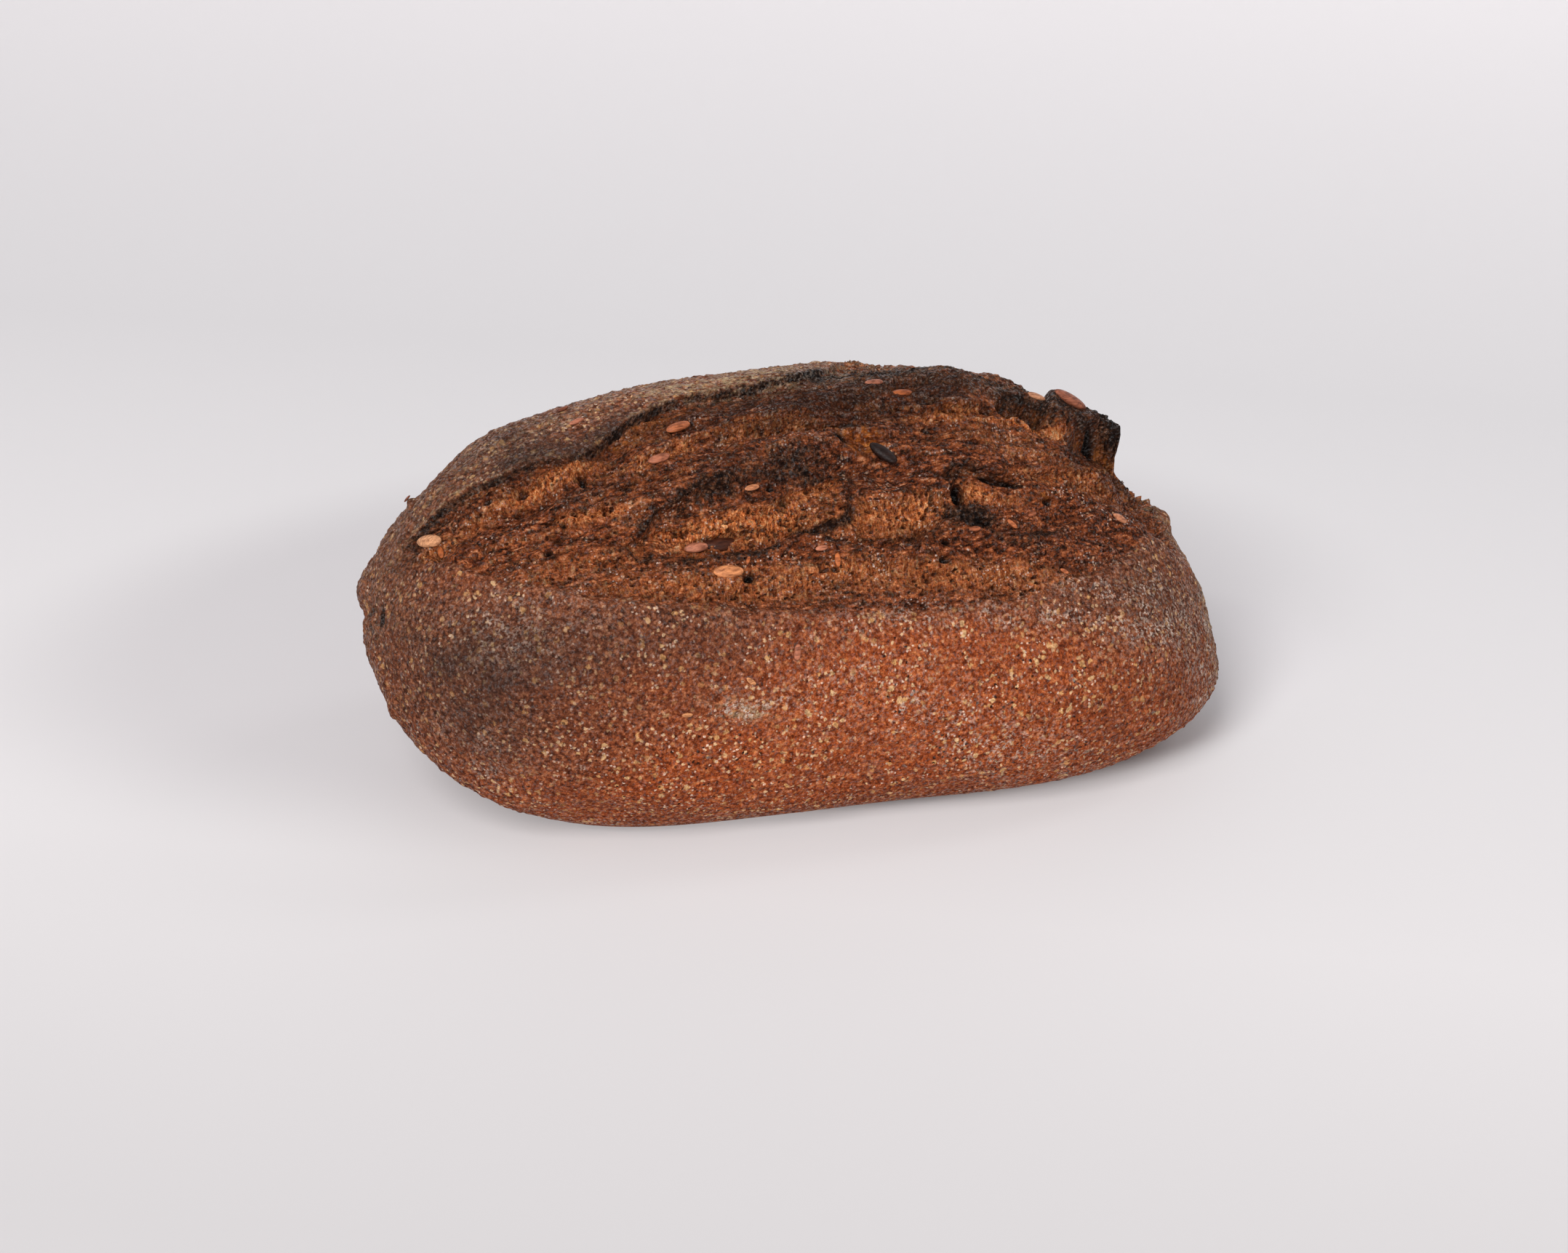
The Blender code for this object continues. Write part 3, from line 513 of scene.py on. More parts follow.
# The floor in metres: its level part, the bend up into the backdrop, its tones and its glow
FLOOR_FRONT = -2.2
FLOOR_BACK = 0.9
FLOOR_TOP = 1.6
FLOOR_BEND = 0.5
FLOOR_BEND_STEPS = 16
FLOOR_HALF_WIDTH = 3.0
FLOOR_ROUGHNESS = 0.7
FLOOR_DIRECTION = (0.22, 0.36, 0)
# The tones along FLOOR_DIRECTION are painted light: darker at the front, bright in a band just in front
# of the loaf, dimmer behind it and brightest up the backdrop
FLOOR_TONES = [
    (0.05, 0.56, 0.535, 0.54), (0.4, 0.625, 0.6, 0.605), (0.465, 0.735, 0.705, 0.71),
    (0.62, 0.66, 0.64, 0.648), (1, 0.95, 0.912, 0.922),
]
FLOOR_GLOW_SPAN = (0.62, 0.42)
FLOOR_SHADE = ((0.036, 0.022, 0), (0.1152, 0.064, 1))
FLOOR_SHADE_EDGE = (0.9, 1.05)
# Painted shade: an oval round the back and sides of the loaf, its soft edge, and the tone it darkens the
# floor by
FLOOR_PAINTED_SHADE = ((0, 0.085, 0), (0.165, 0.115, 1))
FLOOR_PAINTED_SHADE_EDGE = (1.2, 0.8)
FLOOR_PAINTED_SHADE_TONE = (0.85, 0.842, 0.85)

# The lights: name, place and target in metres, size, power
LIGHTS = [
    ("key_light", (-0.95, -1.25, 1.32), (0, 0, 0.03), 0.9, 36.5),
    ("fill_light", (-0.1, -1.7, 0.4), (0, 0, 0.03), 1.2, 7.5),
    ("backdrop_light", (1.5, 0.1, 1.3), (0.7, 1.5, 0.3), 0.8, 8.6),
]
SKY_COLOUR = (0.96, 0.97, 1, 1)
SKY_STRENGTH = 0.43

Place = namedtuple("Place", "x angle degree_length point rag")


def smooth_step(low, high, value):
    """Rise from 0 at low to 1 at high with no corners."""
    share = np.clip((value - low) / (high - low), 0.0, 1.0)
    return share * share * (3.0 - 2.0 * share)


def bell(distance, width):
    return np.exp(-(distance / width) ** 2)


def between(ends, value):
    """Rise from 0 to 1 over the first two ends, and fall back over the last two."""
    return smooth_step(ends[0], ends[1], value) * (1.0 - smooth_step(ends[2], ends[3], value))


def along_curve(points, x):
    """Read a smooth curve through the points (x, value), level beyond its ends."""
    places, values = np.array(points, dtype=float).T
    slopes = np.gradient(values, places)
    left = np.clip(np.searchsorted(places, x) - 1, 0, len(places) - 2)
    span = places[left + 1] - places[left]
    share = np.clip((x - places[left]) / span, 0.0, 1.0)
    rest = 1.0 - share
    blend = rest * rest * (1.0 + 2.0 * share) * values[left]
    blend += share * share * (1.0 + 2.0 * rest) * values[left + 1]
    blend += span * share * rest * rest * slopes[left]
    blend -= span * share * share * rest * slopes[left + 1]
    return blend


def bend(terms, share):
    return terms[0] + terms[1] * share + terms[2] * share * share


def plain_loaf(x, angle):
    """Place a point on the plain loaf: rounded sections that taper towards both ends."""
    share = np.clip(x / (LENGTH / 2), -1.0, 1.0)
    left = share < 0
    room = np.maximum(1.0 - np.abs(share) ** TAPER_POWER, 0.0)
    tip = np.where(left, 0.0, TIP_ROUNDING) * np.sqrt(room) * (1.0 - room) ** TIP_POWER
    side_taper = room ** (1.0 / np.where(left, LEFT_ROOTS[0], RIGHT_ROOTS[0])) + tip
    upright_taper = room ** (1.0 / np.where(left, LEFT_ROOTS[1], RIGHT_ROOTS[1])) + tip
    middle = bend(WIDEST_LINE, share)
    side = np.sin(np.radians(angle))
    lift = -np.cos(np.radians(angle))
    roundness = FOOT_POWER + (TOP_POWER - FOOT_POWER) * smooth_step(*POWER_BLEND, lift)
    sideways = np.abs(side) ** (2.0 / roundness) * side_taper * bend(WIDTH_GAIN, share)
    y = bend(SPINE_DRIFT, share) + np.where(side > 0, -FRONT_REACH, BACK_REACH) * sideways
    crown = (HEIGHT - WIDEST_LINE[0]) * bend(CROWN_GAIN, share)
    foot = middle + FOOT_DEPTH + FOOT_SLOPE * share
    upright = np.abs(lift) ** (2.0 / roundness) * upright_taper
    z = middle + np.where(lift > 0, crown, -foot) * upright
    return np.stack([x + 0.0 * angle, y, np.maximum(z, 0.0)], axis=-1)


def unit(vectors):
    return vectors / np.maximum(np.linalg.norm(vectors, axis=-1, keepdims=True), SHORTEST)


def surface_axes(x, angle):
    """Outward and around directions of the plain loaf, and how long one degree is."""
    inside = np.clip(x, -END_LIMIT, END_LIMIT)
    along = plain_loaf(inside + X_PROBE, angle) - plain_loaf(inside - X_PROBE, angle)
    around = plain_loaf(inside, angle + ANGLE_PROBE) - plain_loaf(inside, angle - ANGLE_PROBE)
    around /= 2.0 * ANGLE_PROBE
    return unit(np.cross(along, around)), unit(around), np.linalg.norm(around, axis=-1)


def lumps(points, length, width, height, octaves=1):
    """Smooth random unevenness, as long, wide and high as given, at each point."""
    flat = (points.reshape(-1, 3) / (length, width, width)).tolist()
    if octaves == 1:
        values = [noise.noise(place) for place in flat]
    else:
        values = [noise.fractal(place, 1.0, 2.0, octaves) for place in flat]
    return height * np.array(values).reshape(points.shape[:-1])


def gap_to(line, place, raggedness=1.0):
    """Distance over the surface from a ragged line along the loaf, in millimetres."""
    return (place.angle - along_curve(line, place.x)) * place.degree_length + raggedness * place.rag


def opening_share(place):
    """1 on the torn crumb between the front lip and the ear, 0 on the crust."""
    past_lip = smooth_step(*LIP_SOFTNESS, gap_to(FRONT_LIP, place))
    before_ear = smooth_step(*EAR_SOFTNESS, -gap_to(EAR_EDGE, place, EAR_RAGGEDNESS))
    return past_lip * before_ear * between(OPENING_SPAN, place.x)


def push(rise, gap):
    """A rounded push of rise = (height, distance from the edge, half width)."""
    height, middle, half_width = rise
    return height * bell(gap - middle, half_width)


def line_strength(line, place):
    """How strongly a line shows along the loaf, from 0 to 1."""
    return np.clip(along_curve(line, place.x), 0.0, 1.0)


def fading_step(gap, half_width, fade):
    """Rise from 0 to 1 across an edge, then fade away behind it."""
    return smooth_step(-half_width, half_width, gap) * np.exp(-np.maximum(gap, 0.0) / fade)


def ear_relief(place):
    """The ear: a crust edge that stands over the crumb in front of it."""
    gap = gap_to(EAR_EDGE, place, EAR_RAGGEDNESS)
    rise = along_curve(EAR_RISE, place.x)
    outward = rise * fading_step(gap, EAR_STEP, EAR_FADE)
    outward -= along_curve(EAR_UNDERCUT, place.x) * fading_step(-gap, EAR_STEP, UNDERCUT_FADE)
    return outward, rise * (push(EAR_LEAN, gap) - push(EAR_TUCK, gap))


def terrace_relief(place):
    """The lower terrace, the valley above its edge and the charred crest behind it."""
    gap = gap_to(TERRACE_EDGE, place)
    terrace = along_curve(TERRACE_RISE, place.x) * fading_step(-gap, TERRACE_STEP, TERRACE_FADE)
    valley = along_curve(TERRACE_VALLEY, place.x) * fading_step(gap, TERRACE_STEP, VALLEY_FADE)
    past_crest = gap_to(CREST_LINE, place)
    crest_width = np.where(past_crest < 0, *CREST_REACH)
    return terrace - valley + along_curve(CREST_RISE, place.x) * bell(past_crest, crest_width)


def upper_layer_relief(place):
    """The thin torn edge above the middle, and the torn band under the left ear."""
    gap = gap_to(UPPER_EDGE, place)
    streak = STREAK_RISE * between(STREAK_SPAN, place.x) * fading_step(gap, STREAK_STEP, STREAK_FADE)
    return streak - between(BAND_SPAN, place.x) * push(BAND, gap)


def flap_kept(place, gap):
    """1 on the flap and 0 past its right end, with a short slope between them."""
    end = FLAP_RIGHT + FLAP_OVERHANG * smooth_step(*FLAP_OVERHANG_RISE, gap)
    return 1.0 - smooth_step(end - FLAP_BREAK, end + FLAP_BREAK, place.x)


def flap_end_wall(place):
    """1 half way down the wall at the flap's right end, 0 away from it."""
    gap = gap_to(UPPER_EDGE, place)
    kept = flap_kept(place, gap)
    return 4.0 * kept * (1.0 - kept) * smooth_step(*FLAP_RIM, gap)


def flap_tuck(place):
    """How far the lower part of the flap's end wall is drawn in under its rim."""
    gap = gap_to(UPPER_EDGE, place)
    fade = 1.0 - smooth_step(*FLAP_BACK, place.angle)
    under_rim = between(FLAP_TUCK_SPAN, flap_kept(place, gap)) * smooth_step(*FLAP_RIM, gap)
    return FLAP_TUCK * under_rim * fade


def flap_relief(place):
    """The lifted right end of the upper layer, the hollow under it and the torn dip beside it."""
    gap = gap_to(UPPER_EDGE, place)
    kept = flap_kept(place, gap)
    reach = kept * smooth_step(*FLAP_START, place.x)
    fade = 1.0 - smooth_step(*FLAP_BACK, place.angle)
    torn = TORN_DROP * between(TORN_SPAN, place.x) * between(TORN_ANGLES, place.angle)
    dip = np.maximum(torn, FLAP_WALL_DROP * reach * smooth_step(*FLAP_WALL, gap) * fade)
    on_top = kept * smooth_step(*FLAP_RIM, gap)
    slanted = place.x - FLAP_SLANT * np.maximum(place.angle - along_curve(UPPER_EDGE, place.x), 0.0)
    lift = on_top * along_curve(FLAP_LIFT, slanted) * fade - (1.0 - on_top) * dip
    return lift, reach * fade * (push(FLAP_LEAN, gap) - push(FLAP_HOLLOW, gap))


def spots(table, place, sharpness=1.0):
    """Add up round patches, each given by place, half sizes and amount."""
    total = np.zeros(place.x.shape)
    for x, angle, half_length, half_width, height in table:
        sideways = (place.angle - angle) * place.degree_length + SPOT_RAGGEDNESS * place.rag
        reach = ((place.x - x) / half_length) ** 2 + (sideways / half_width) ** 2
        total += height * np.exp(-reach ** sharpness)
    return total


def ledge_relief(place):
    """Short torn ledges: their relief, how bright their faces and how dark their edges are, and the
    shade right under the edge of the deep ones."""
    outward, faces, edges, shade = (np.zeros(place.x.shape) for _ in range(4))
    for line, rise, depth, width, brightness, darkness in LEDGES:
        start, end = line[0][0], line[-1][0]
        shown = between((start, start + LEDGE_TAPER, end - LEDGE_TAPER, end), place.x)
        gap = gap_to(line, place)
        in_front = smooth_step(-LEDGE_STEP, LEDGE_STEP, -gap) * bell(np.minimum(gap, 0.0), width)
        outward += shown * (rise * fading_step(gap, LEDGE_STEP, LEDGE_FADE) - depth * in_front)
        faces += shown * brightness * in_front
        edges += shown * push((darkness, *LEDGE_LINE), gap)
        shade += shown * smooth_step(*SHADED_DEPTH, depth) * push(LEDGE_SHADE, gap)
    return outward, faces, edges, shade


def hollows(place):
    """How deep the single holes and clefts are, and how much painted shade they get inside."""
    return [spots([(*row[:4], row[amount]) for row in HOLLOWS], place, HOLLOW_SHARPNESS)
            for amount in (4, 5)]


def layer_relief(place):
    """Torn layers, one behind the other: a steep face at the front of each, then a slow fall."""
    gap = gap_to(CREST_LINE, place)
    wander = lumps(place.point, *LAYER_WANDER) + LAYER_RAGGEDNESS * place.rag / LAYER_GAP
    share = (gap / LAYER_GAP + wander) % 1.0
    shown = np.clip(LAYER_SHARE + lumps(place.point, *LAYER_SHOWN), 0.0, 1.0)
    shown *= smooth_step(*LAYER_SPAN, gap)
    face = bell(share - LAYER_FACE / 2, LAYER_FACE) * shown
    crest = bell(share - LAYER_FACE, LAYER_CREST) * shown
    return LAYER_HEIGHT * shown * (smooth_step(0.0, LAYER_FACE, share) - share), face, crest


def end_folds(points):
    """How high the folds of the left end and the torn right corner stand, and their painted shade in
    grooves and dents.
    """
    outward = np.zeros(points.shape[:-1])
    darkness = np.zeros(points.shape[:-1])
    for *middle, radius, height, dark in END_FOLDS:
        near = bell(np.linalg.norm(points - np.array(middle), axis=-1), radius)
        outward += height * near
        darkness += dark * near
    return outward, darkness


def crust_relief(place):
    """Wrinkles, grains and small blisters of the baked skin."""
    *sizes, height = CRUST_BLISTERS
    blisters = height * smooth_step(*BLISTER_START, lumps(place.point, *sizes, 1.0))
    wrinkles = lumps(place.point, *CRUST_WRINKLES, octaves=3)
    return blisters + wrinkles + lumps(place.point, *CRUST_GRAINS, octaves=2)


def pores(points, sizes, openness):
    """Round pores, one at the middle of a random cell, wider where there is more openness."""
    flat = (points.reshape(-1, 3) / (sizes[0], sizes[1], sizes[1])).tolist()
    reach = np.array([noise.voronoi(place)[0][0] for place in flat]).reshape(points.shape[:-1])
    low, high, gain = PORE_SIZES
    return sizes[2] * (1.0 - smooth_step(low + gain * openness, high + gain * openness, reach))


def crumb_relief(place, fibrous):
    """Layered ridges, crags and pores of torn crumb, and upright fibres on its walls."""
    ridges = lumps(place.point, *CRUMB_RIDGES, octaves=2) + lumps(place.point, *CRUMB_CRAGS, octaves=3)
    openness = np.clip(fibrous + lumps(place.point, *CRUMB_OPENNESS), *OPENNESS_LIMITS)
    fibres = lumps(place.point, *WALL_FIBRES, octaves=2)
    calm = OLD_CRUMB_CALM + (1.0 - OLD_CRUMB_CALM) * fibrous
    rough = calm * ridges - pores(place.point, CRUMB_PORES, openness)
    return rough + lumps(place.point, *CRUMB_GRAINS, octaves=2) + fibrous * fibres


def loaf_surface(x, angle):
    """Points of the finished loaf, and how much of each finish shows there."""
    plain = plain_loaf(x, angle)
    outward_axis, around_axis, degree_length = surface_axes(x, angle)
    rag = sum(lumps(plain, *rags) for rags in EDGE_RAGS)
    place = Place(x, angle, degree_length, plain, rag)
    opening = opening_share(place)
    ear_out, ear_forward = ear_relief(place)
    flap_lift, flap_forward = flap_relief(place)
    layers, layer_faces, layer_crests = layer_relief(place)
    holes, darkness = hollows(place)
    ledges, ledge_faces, ledge_edges, ledge_shade = ledge_relief(place)
    outward = ear_out + terrace_relief(place) + upper_layer_relief(place) - SCORE_DEPTH * opening
    folds, fold_shade = end_folds(plain)
    outward += spots(SWELLINGS, place) - holes + folds + opening * (layers + ledges)
    outward += lumps(plain, *CRUST_LUMPS) + opening * lumps(plain, *CRUMB_LUMPS)
    tufts = np.maximum(lumps(plain, *TUFTS, octaves=2), TUFT_FLOOR)
    outward += opening * between(TUFT_SPAN, place.x) * tufts
    end_wall = flap_end_wall(place)
    finish = finishes(place, opening, (layer_faces, layer_crests), (ledge_faces, ledge_edges), end_wall)
    smooth = np.clip(holes / HOLE_CALM_DEPTH + AMBER_CALM * finish["amber"], 0.0, 1.0)
    calm = (1.0 - HOLE_CALM * smooth) * (1.0 - WALL_CALM * end_wall)
    fine = opening * crumb_relief(place, finish["bright"]) + (1.0 - opening) * crust_relief(place)
    fine *= calm
    finish["relief"] = fine
    # Painted shade in the grooves and dents of the end folds, laid in with the charring
    finish["char_and_shade"] += fold_shade
    # Painted shade inside the holes and right under the deep ledges
    finish["hole_and_ledge_shade"] = np.clip(darkness + LEDGE_SHADE_AMOUNT * opening * ledge_shade, 0.0, 1.0)
    above_foot = smooth_step(*ABOVE_FOOT, plain[..., 2])
    forward = (ear_forward + flap_forward) * above_foot
    outward = (outward + fine) * above_foot
    points = plain + outward[..., None] * outward_axis - forward[..., None] * around_axis
    points[..., 0] -= flap_tuck(place)
    points[..., 2] = np.maximum(points[..., 2] + flap_lift, 0.0)
    return points, finish


def finishes(place, opening, layers, ledges, end_wall):
    """How charred, freshly torn, floured and orange the loaf is at each place, from 0 to 1, with painted
    shade under the ear's undercut laid in with the charring and the scorching.
    """
    blotches = lumps(place.point, *BLOTCHES, octaves=3)
    layer_faces, layer_crests = layers
    ledge_faces, ledge_edges = ledges
    ear_gap = gap_to(EAR_EDGE, place, EAR_RAGGEDNESS)
    flap_gap = gap_to(UPPER_EDGE, place)
    ear_strength = line_strength(EAR_RISE, place)
    undercut = line_strength(EAR_UNDERCUT, place)
    left_ear = between(EAR_CHAR_SPAN, place.x)
    long_ear = between(EAR_LINE_SPAN, place.x)
    rim = between(FLAP_SPAN, place.x) * between(FLAP_SKIN, flap_gap)
    torn_wall = end_wall * (1.0 - smooth_step(*FLAP_WALL_SKIN, flap_kept(place, flap_gap)))
    under_rim = between(FLAP_AMBER_SPAN, place.x) * push(FLAP_RIM_AMBER, flap_gap) + torn_wall
    amber = np.clip(spots(AMBER_PATCHES, place, PATCH_SHARPNESS) + under_rim, 0.0, 1.0)
    char_and_shade = spots(CHAR_PATCHES, place, PATCH_SHARPNESS) + RIM_CHAR * rim
    # The second push is painted shade under the ear's undercut
    char_and_shade += push(EAR_BLACK_LINE, ear_gap) * ear_strength + push(EAR_SHADE, ear_gap) * undercut
    char_and_shade += push(EAR_BACK_CHAR, ear_gap) * left_ear + push(EAR_LINE_CHAR, ear_gap) * long_ear
    char_and_shade += push(TERRACE_CHAR, gap_to(TERRACE_EDGE, place)) * line_strength(TERRACE_RISE, place)
    char_and_shade += ledge_edges - LEDGE_CLEAR * ledge_faces
    char_and_shade *= (1.0 - WALL_CLEAR * end_wall) * (1.0 - AMBER_CLEAR * amber)
    ear_skin = smooth_step(*EAR_SKIN, ear_gap) * between(EAR_SKIN_SPAN, place.x)
    scorch_and_shade = spots(SCORCH_PATCHES, place) * (1.0 - SKIN_CLEAR * ear_skin)
    scorch_and_shade += push(EAR_BACK_DIM, ear_gap) * left_ear + push(EAR_LINE_DIM, ear_gap) * long_ear
    # Painted shade under the ear's undercut
    scorch_and_shade += push(EAR_FOOT_SHADE, ear_gap) * undercut
    scorch_and_shade *= (1.0 - LEDGE_CLEAR * np.clip(ledge_faces, 0.0, 1.0)) * (1.0 - AMBER_CLEAR * amber)
    bright = spots(BRIGHT_PATCHES, place, PATCH_SHARPNESS) + ledge_faces
    bright += LAYER_BRIGHTNESS * layer_faces + WALL_BRIGHTNESS * end_wall
    flour = spots(FLOUR_PATCHES, place) * (1.0 - blotches) + push(PALE_LIP, ear_gap) * ear_strength
    specks = spots(SPECK_PATCHES, place) * (1.0 - blotches) + CREST_SPECKS * opening * layer_crests
    return {
        "torn": opening,
        "char_and_shade": np.clip(char_and_shade * (1.0 + blotches), 0.0, CHAR_LIMIT),
        "scorch_and_shade": np.clip(scorch_and_shade * (1.0 + blotches), 0.0, SCORCH_LIMIT),
        "bright": np.clip(bright * (1.0 + blotches), 0.0, 1.0) * opening,
        "flour": np.clip(flour, 0.0, 1.0),
        "specks": np.clip(specks, 0.0, 1.0),
        "amber": amber * opening,
        "orange": np.clip(spots(CRUST_ORANGE, place) + ORANGE_BLOTCHES * blotches, 0.0, 1.0),
    }


def net_columns(count):
    """x of each ring of points, closer together towards both ends."""
    share = np.linspace(-1.0, 1.0, count + 1)
    rounded = (1.0 - END_CROWDING) * share + END_CROWDING * np.sin(share * math.pi / 2)
    return rounded * LENGTH / 2


def net_rows(x, rows):
    """Angles of the points round one ring, closer together at the torn edges."""
    stops = [0.0, FOOT_ANGLE, along_curve(FRONT_LIP, x)]
    for line in (TERRACE_EDGE, UPPER_EDGE, EAR_EDGE):
        middle = along_curve(line, x)
        band = EDGE_BAND / surface_axes(x, middle)[2]
        stops += [middle - band, middle + band]
    stops += [BACK_ANGLE, 360.0 - FOOT_ANGLE, 360.0]
    for place in range(1, len(stops)):
        stops[place] = max(stops[place], stops[place - 1] + ROW_GAP * rows[place - 1])
    starts = np.concatenate([[0], np.cumsum(rows)])
    return np.interp(np.arange(starts[-1]), starts, np.array(stops, dtype=float))


def net_faces(count, around):
    """Faces of the closed net: quads between the rings, and a fan at each end."""
    here = np.arange((count - 1) * around)
    beside = np.where(here % around == around - 1, here - around + 1, here + 1)
    faces = np.stack([here, here + around, beside + around, beside], axis=1).tolist()
    step = np.arange(around)
    after = (step + 1) % around
    last = (count - 1) * around
    left_end = np.full(around, count * around)
    faces += np.stack([left_end, step, after], axis=1).tolist()
    faces += np.stack([left_end + 1, last + after, last + step], axis=1).tolist()
    return faces


def add_mesh(name, points, faces, attributes):
    """Make an object from points in millimetres, with one number or colour kept at each point."""
    mesh = bpy.data.meshes.new(name)
    mesh.from_pydata((points * MM).tolist(), [], faces)
    for attribute, values in attributes.items():
        layer = mesh.attributes.new(attribute, "FLOAT", "POINT")
        layer.data.foreach_set("value", np.asarray(values, dtype=np.float32))
    mesh.shade_smooth()
    piece = bpy.data.objects.new(name, mesh)
    bpy.context.scene.collection.objects.link(piece)
    return piece


def make_loaf():
    """The loaf on its fine net, with its finishes stored at every point."""
    ring_x = net_columns(COLUMNS)[1:-1]
    angles = np.stack([net_rows(x, ROWS) for x in ring_x])
    count, around = angles.shape
    all_x = np.concatenate([np.repeat(ring_x, around), [-LENGTH / 2, LENGTH / 2]])
    all_angles = np.concatenate([angles.ravel(), [180.0, 180.0]])
    points, finish = loaf_surface(all_x, all_angles)
    points[:, :2] -= np.array(BOX_MIDDLE)
    return add_mesh("loaf_crust", points, net_faces(count, around), finish)


def seed_places():
    """The seeds that show, and a few more on the back crust."""
    draw = np.random.default_rng(SEED_DRAW)
    places = list(SEEDS)
    for _ in range(BACK_SEED_COUNT):
        row = [draw.uniform(*limits) for limits in BACK_SEED_RANGES]
        places.append((*row, *BACK_SEED_TONES))
    return places


def seed_matrix(loaf, x, angle, turn, length):
    """Lay a seed on the loaf's own faces, turned in their plane."""
    point = loaf_surface(np.array([float(x)]), np.array([float(angle)]))[0][0]
    middle = Vector(point) - Vector((*BOX_MIDDLE, 0.0))
    outward = Vector(surface_axes(np.array([float(x)]), np.array([float(angle)]))[0][0])
    _, touching, _, _ = loaf.closest_point_on_mesh(middle * MM)
    along = (Vector((1.0, 0.0, 0.0)) - outward * outward.x).normalized()
    long_axis = Matrix.Rotation(math.radians(turn), 3, outward) @ along
    turned = Matrix((long_axis, outward.cross(long_axis), outward)).transposed().to_4x4()
    return Matrix.Translation(touching / MM + outward * SEED_LIFT) @ turned @ Matrix.Scale(length, 4)


def seed_points():
    """A flax seed one unit long: flat, pointed at one end and rounder at the other."""
    rows = [(-0.5, 0.0)]
    for ring in range(1, SEED_RINGS):
        turn = math.pi * ring / SEED_RINGS
        place = -0.5 * math.cos(turn)
        rows.append((place, math.sin(turn) ** (SEED_TIP_POWER - SEED_TIP_CHANGE * place)))
    rows.append((0.5, 0.0))
    points = []
    for place, width in rows:
        for side in range(SEED_SIDES):
            turn = 2 * math.pi * side / SEED_SIDES
            edge = math.copysign(abs(math.sin(turn)) ** SEED_EDGE_POWER, math.sin(turn))
            across = math.cos(turn) * width * SEED_WIDTH / 2
            points.append((place, across, edge * width * SEED_THICKNESS / 2))
    return points


def seed_faces():
    faces = []
    for ring in range(SEED_RINGS):
        for side in range(SEED_SIDES):
            here = ring * SEED_SIDES + side
            beside = ring * SEED_SIDES + (side + 1) % SEED_SIDES
            faces.append((here, beside, beside + SEED_SIDES, here + SEED_SIDES))
    return faces


def make_seeds(loaf):
    """All the flax seeds as one piece, each with its own tone."""
    shape = seed_points()
    faces = []
    points = []
    tones = []
    pinkness = []
    for x, angle, turn, length, tone, pink in seed_places():
        place = seed_matrix(loaf, x, angle, turn, length)
        faces += [tuple(corner + len(points) for corner in face) for face in seed_faces()]
        points += [place @ Vector(point) for point in shape]
        tones += [tone] * len(shape)
        pinkness += [pink] * len(shape)
    return add_mesh("flax_seeds", np.array(points), faces, {"tone": tones, "pink": pinkness})


def light(red, green, blue):
    """A colour from 0 to 255 on a screen, turned into the amounts of light that a shader takes."""
    shares = np.array([red, green, blue]) / 255.0
    return tuple(np.where(shares <= 0.04045, shares / 12.92, ((shares + 0.055) / 1.055) ** 2.4).tolist())


def tones_of(name):
    """The tones of this name, with their colours as amounts of light."""
    return [(where, *light(*colour)) for where, *colour in TONES[name]]


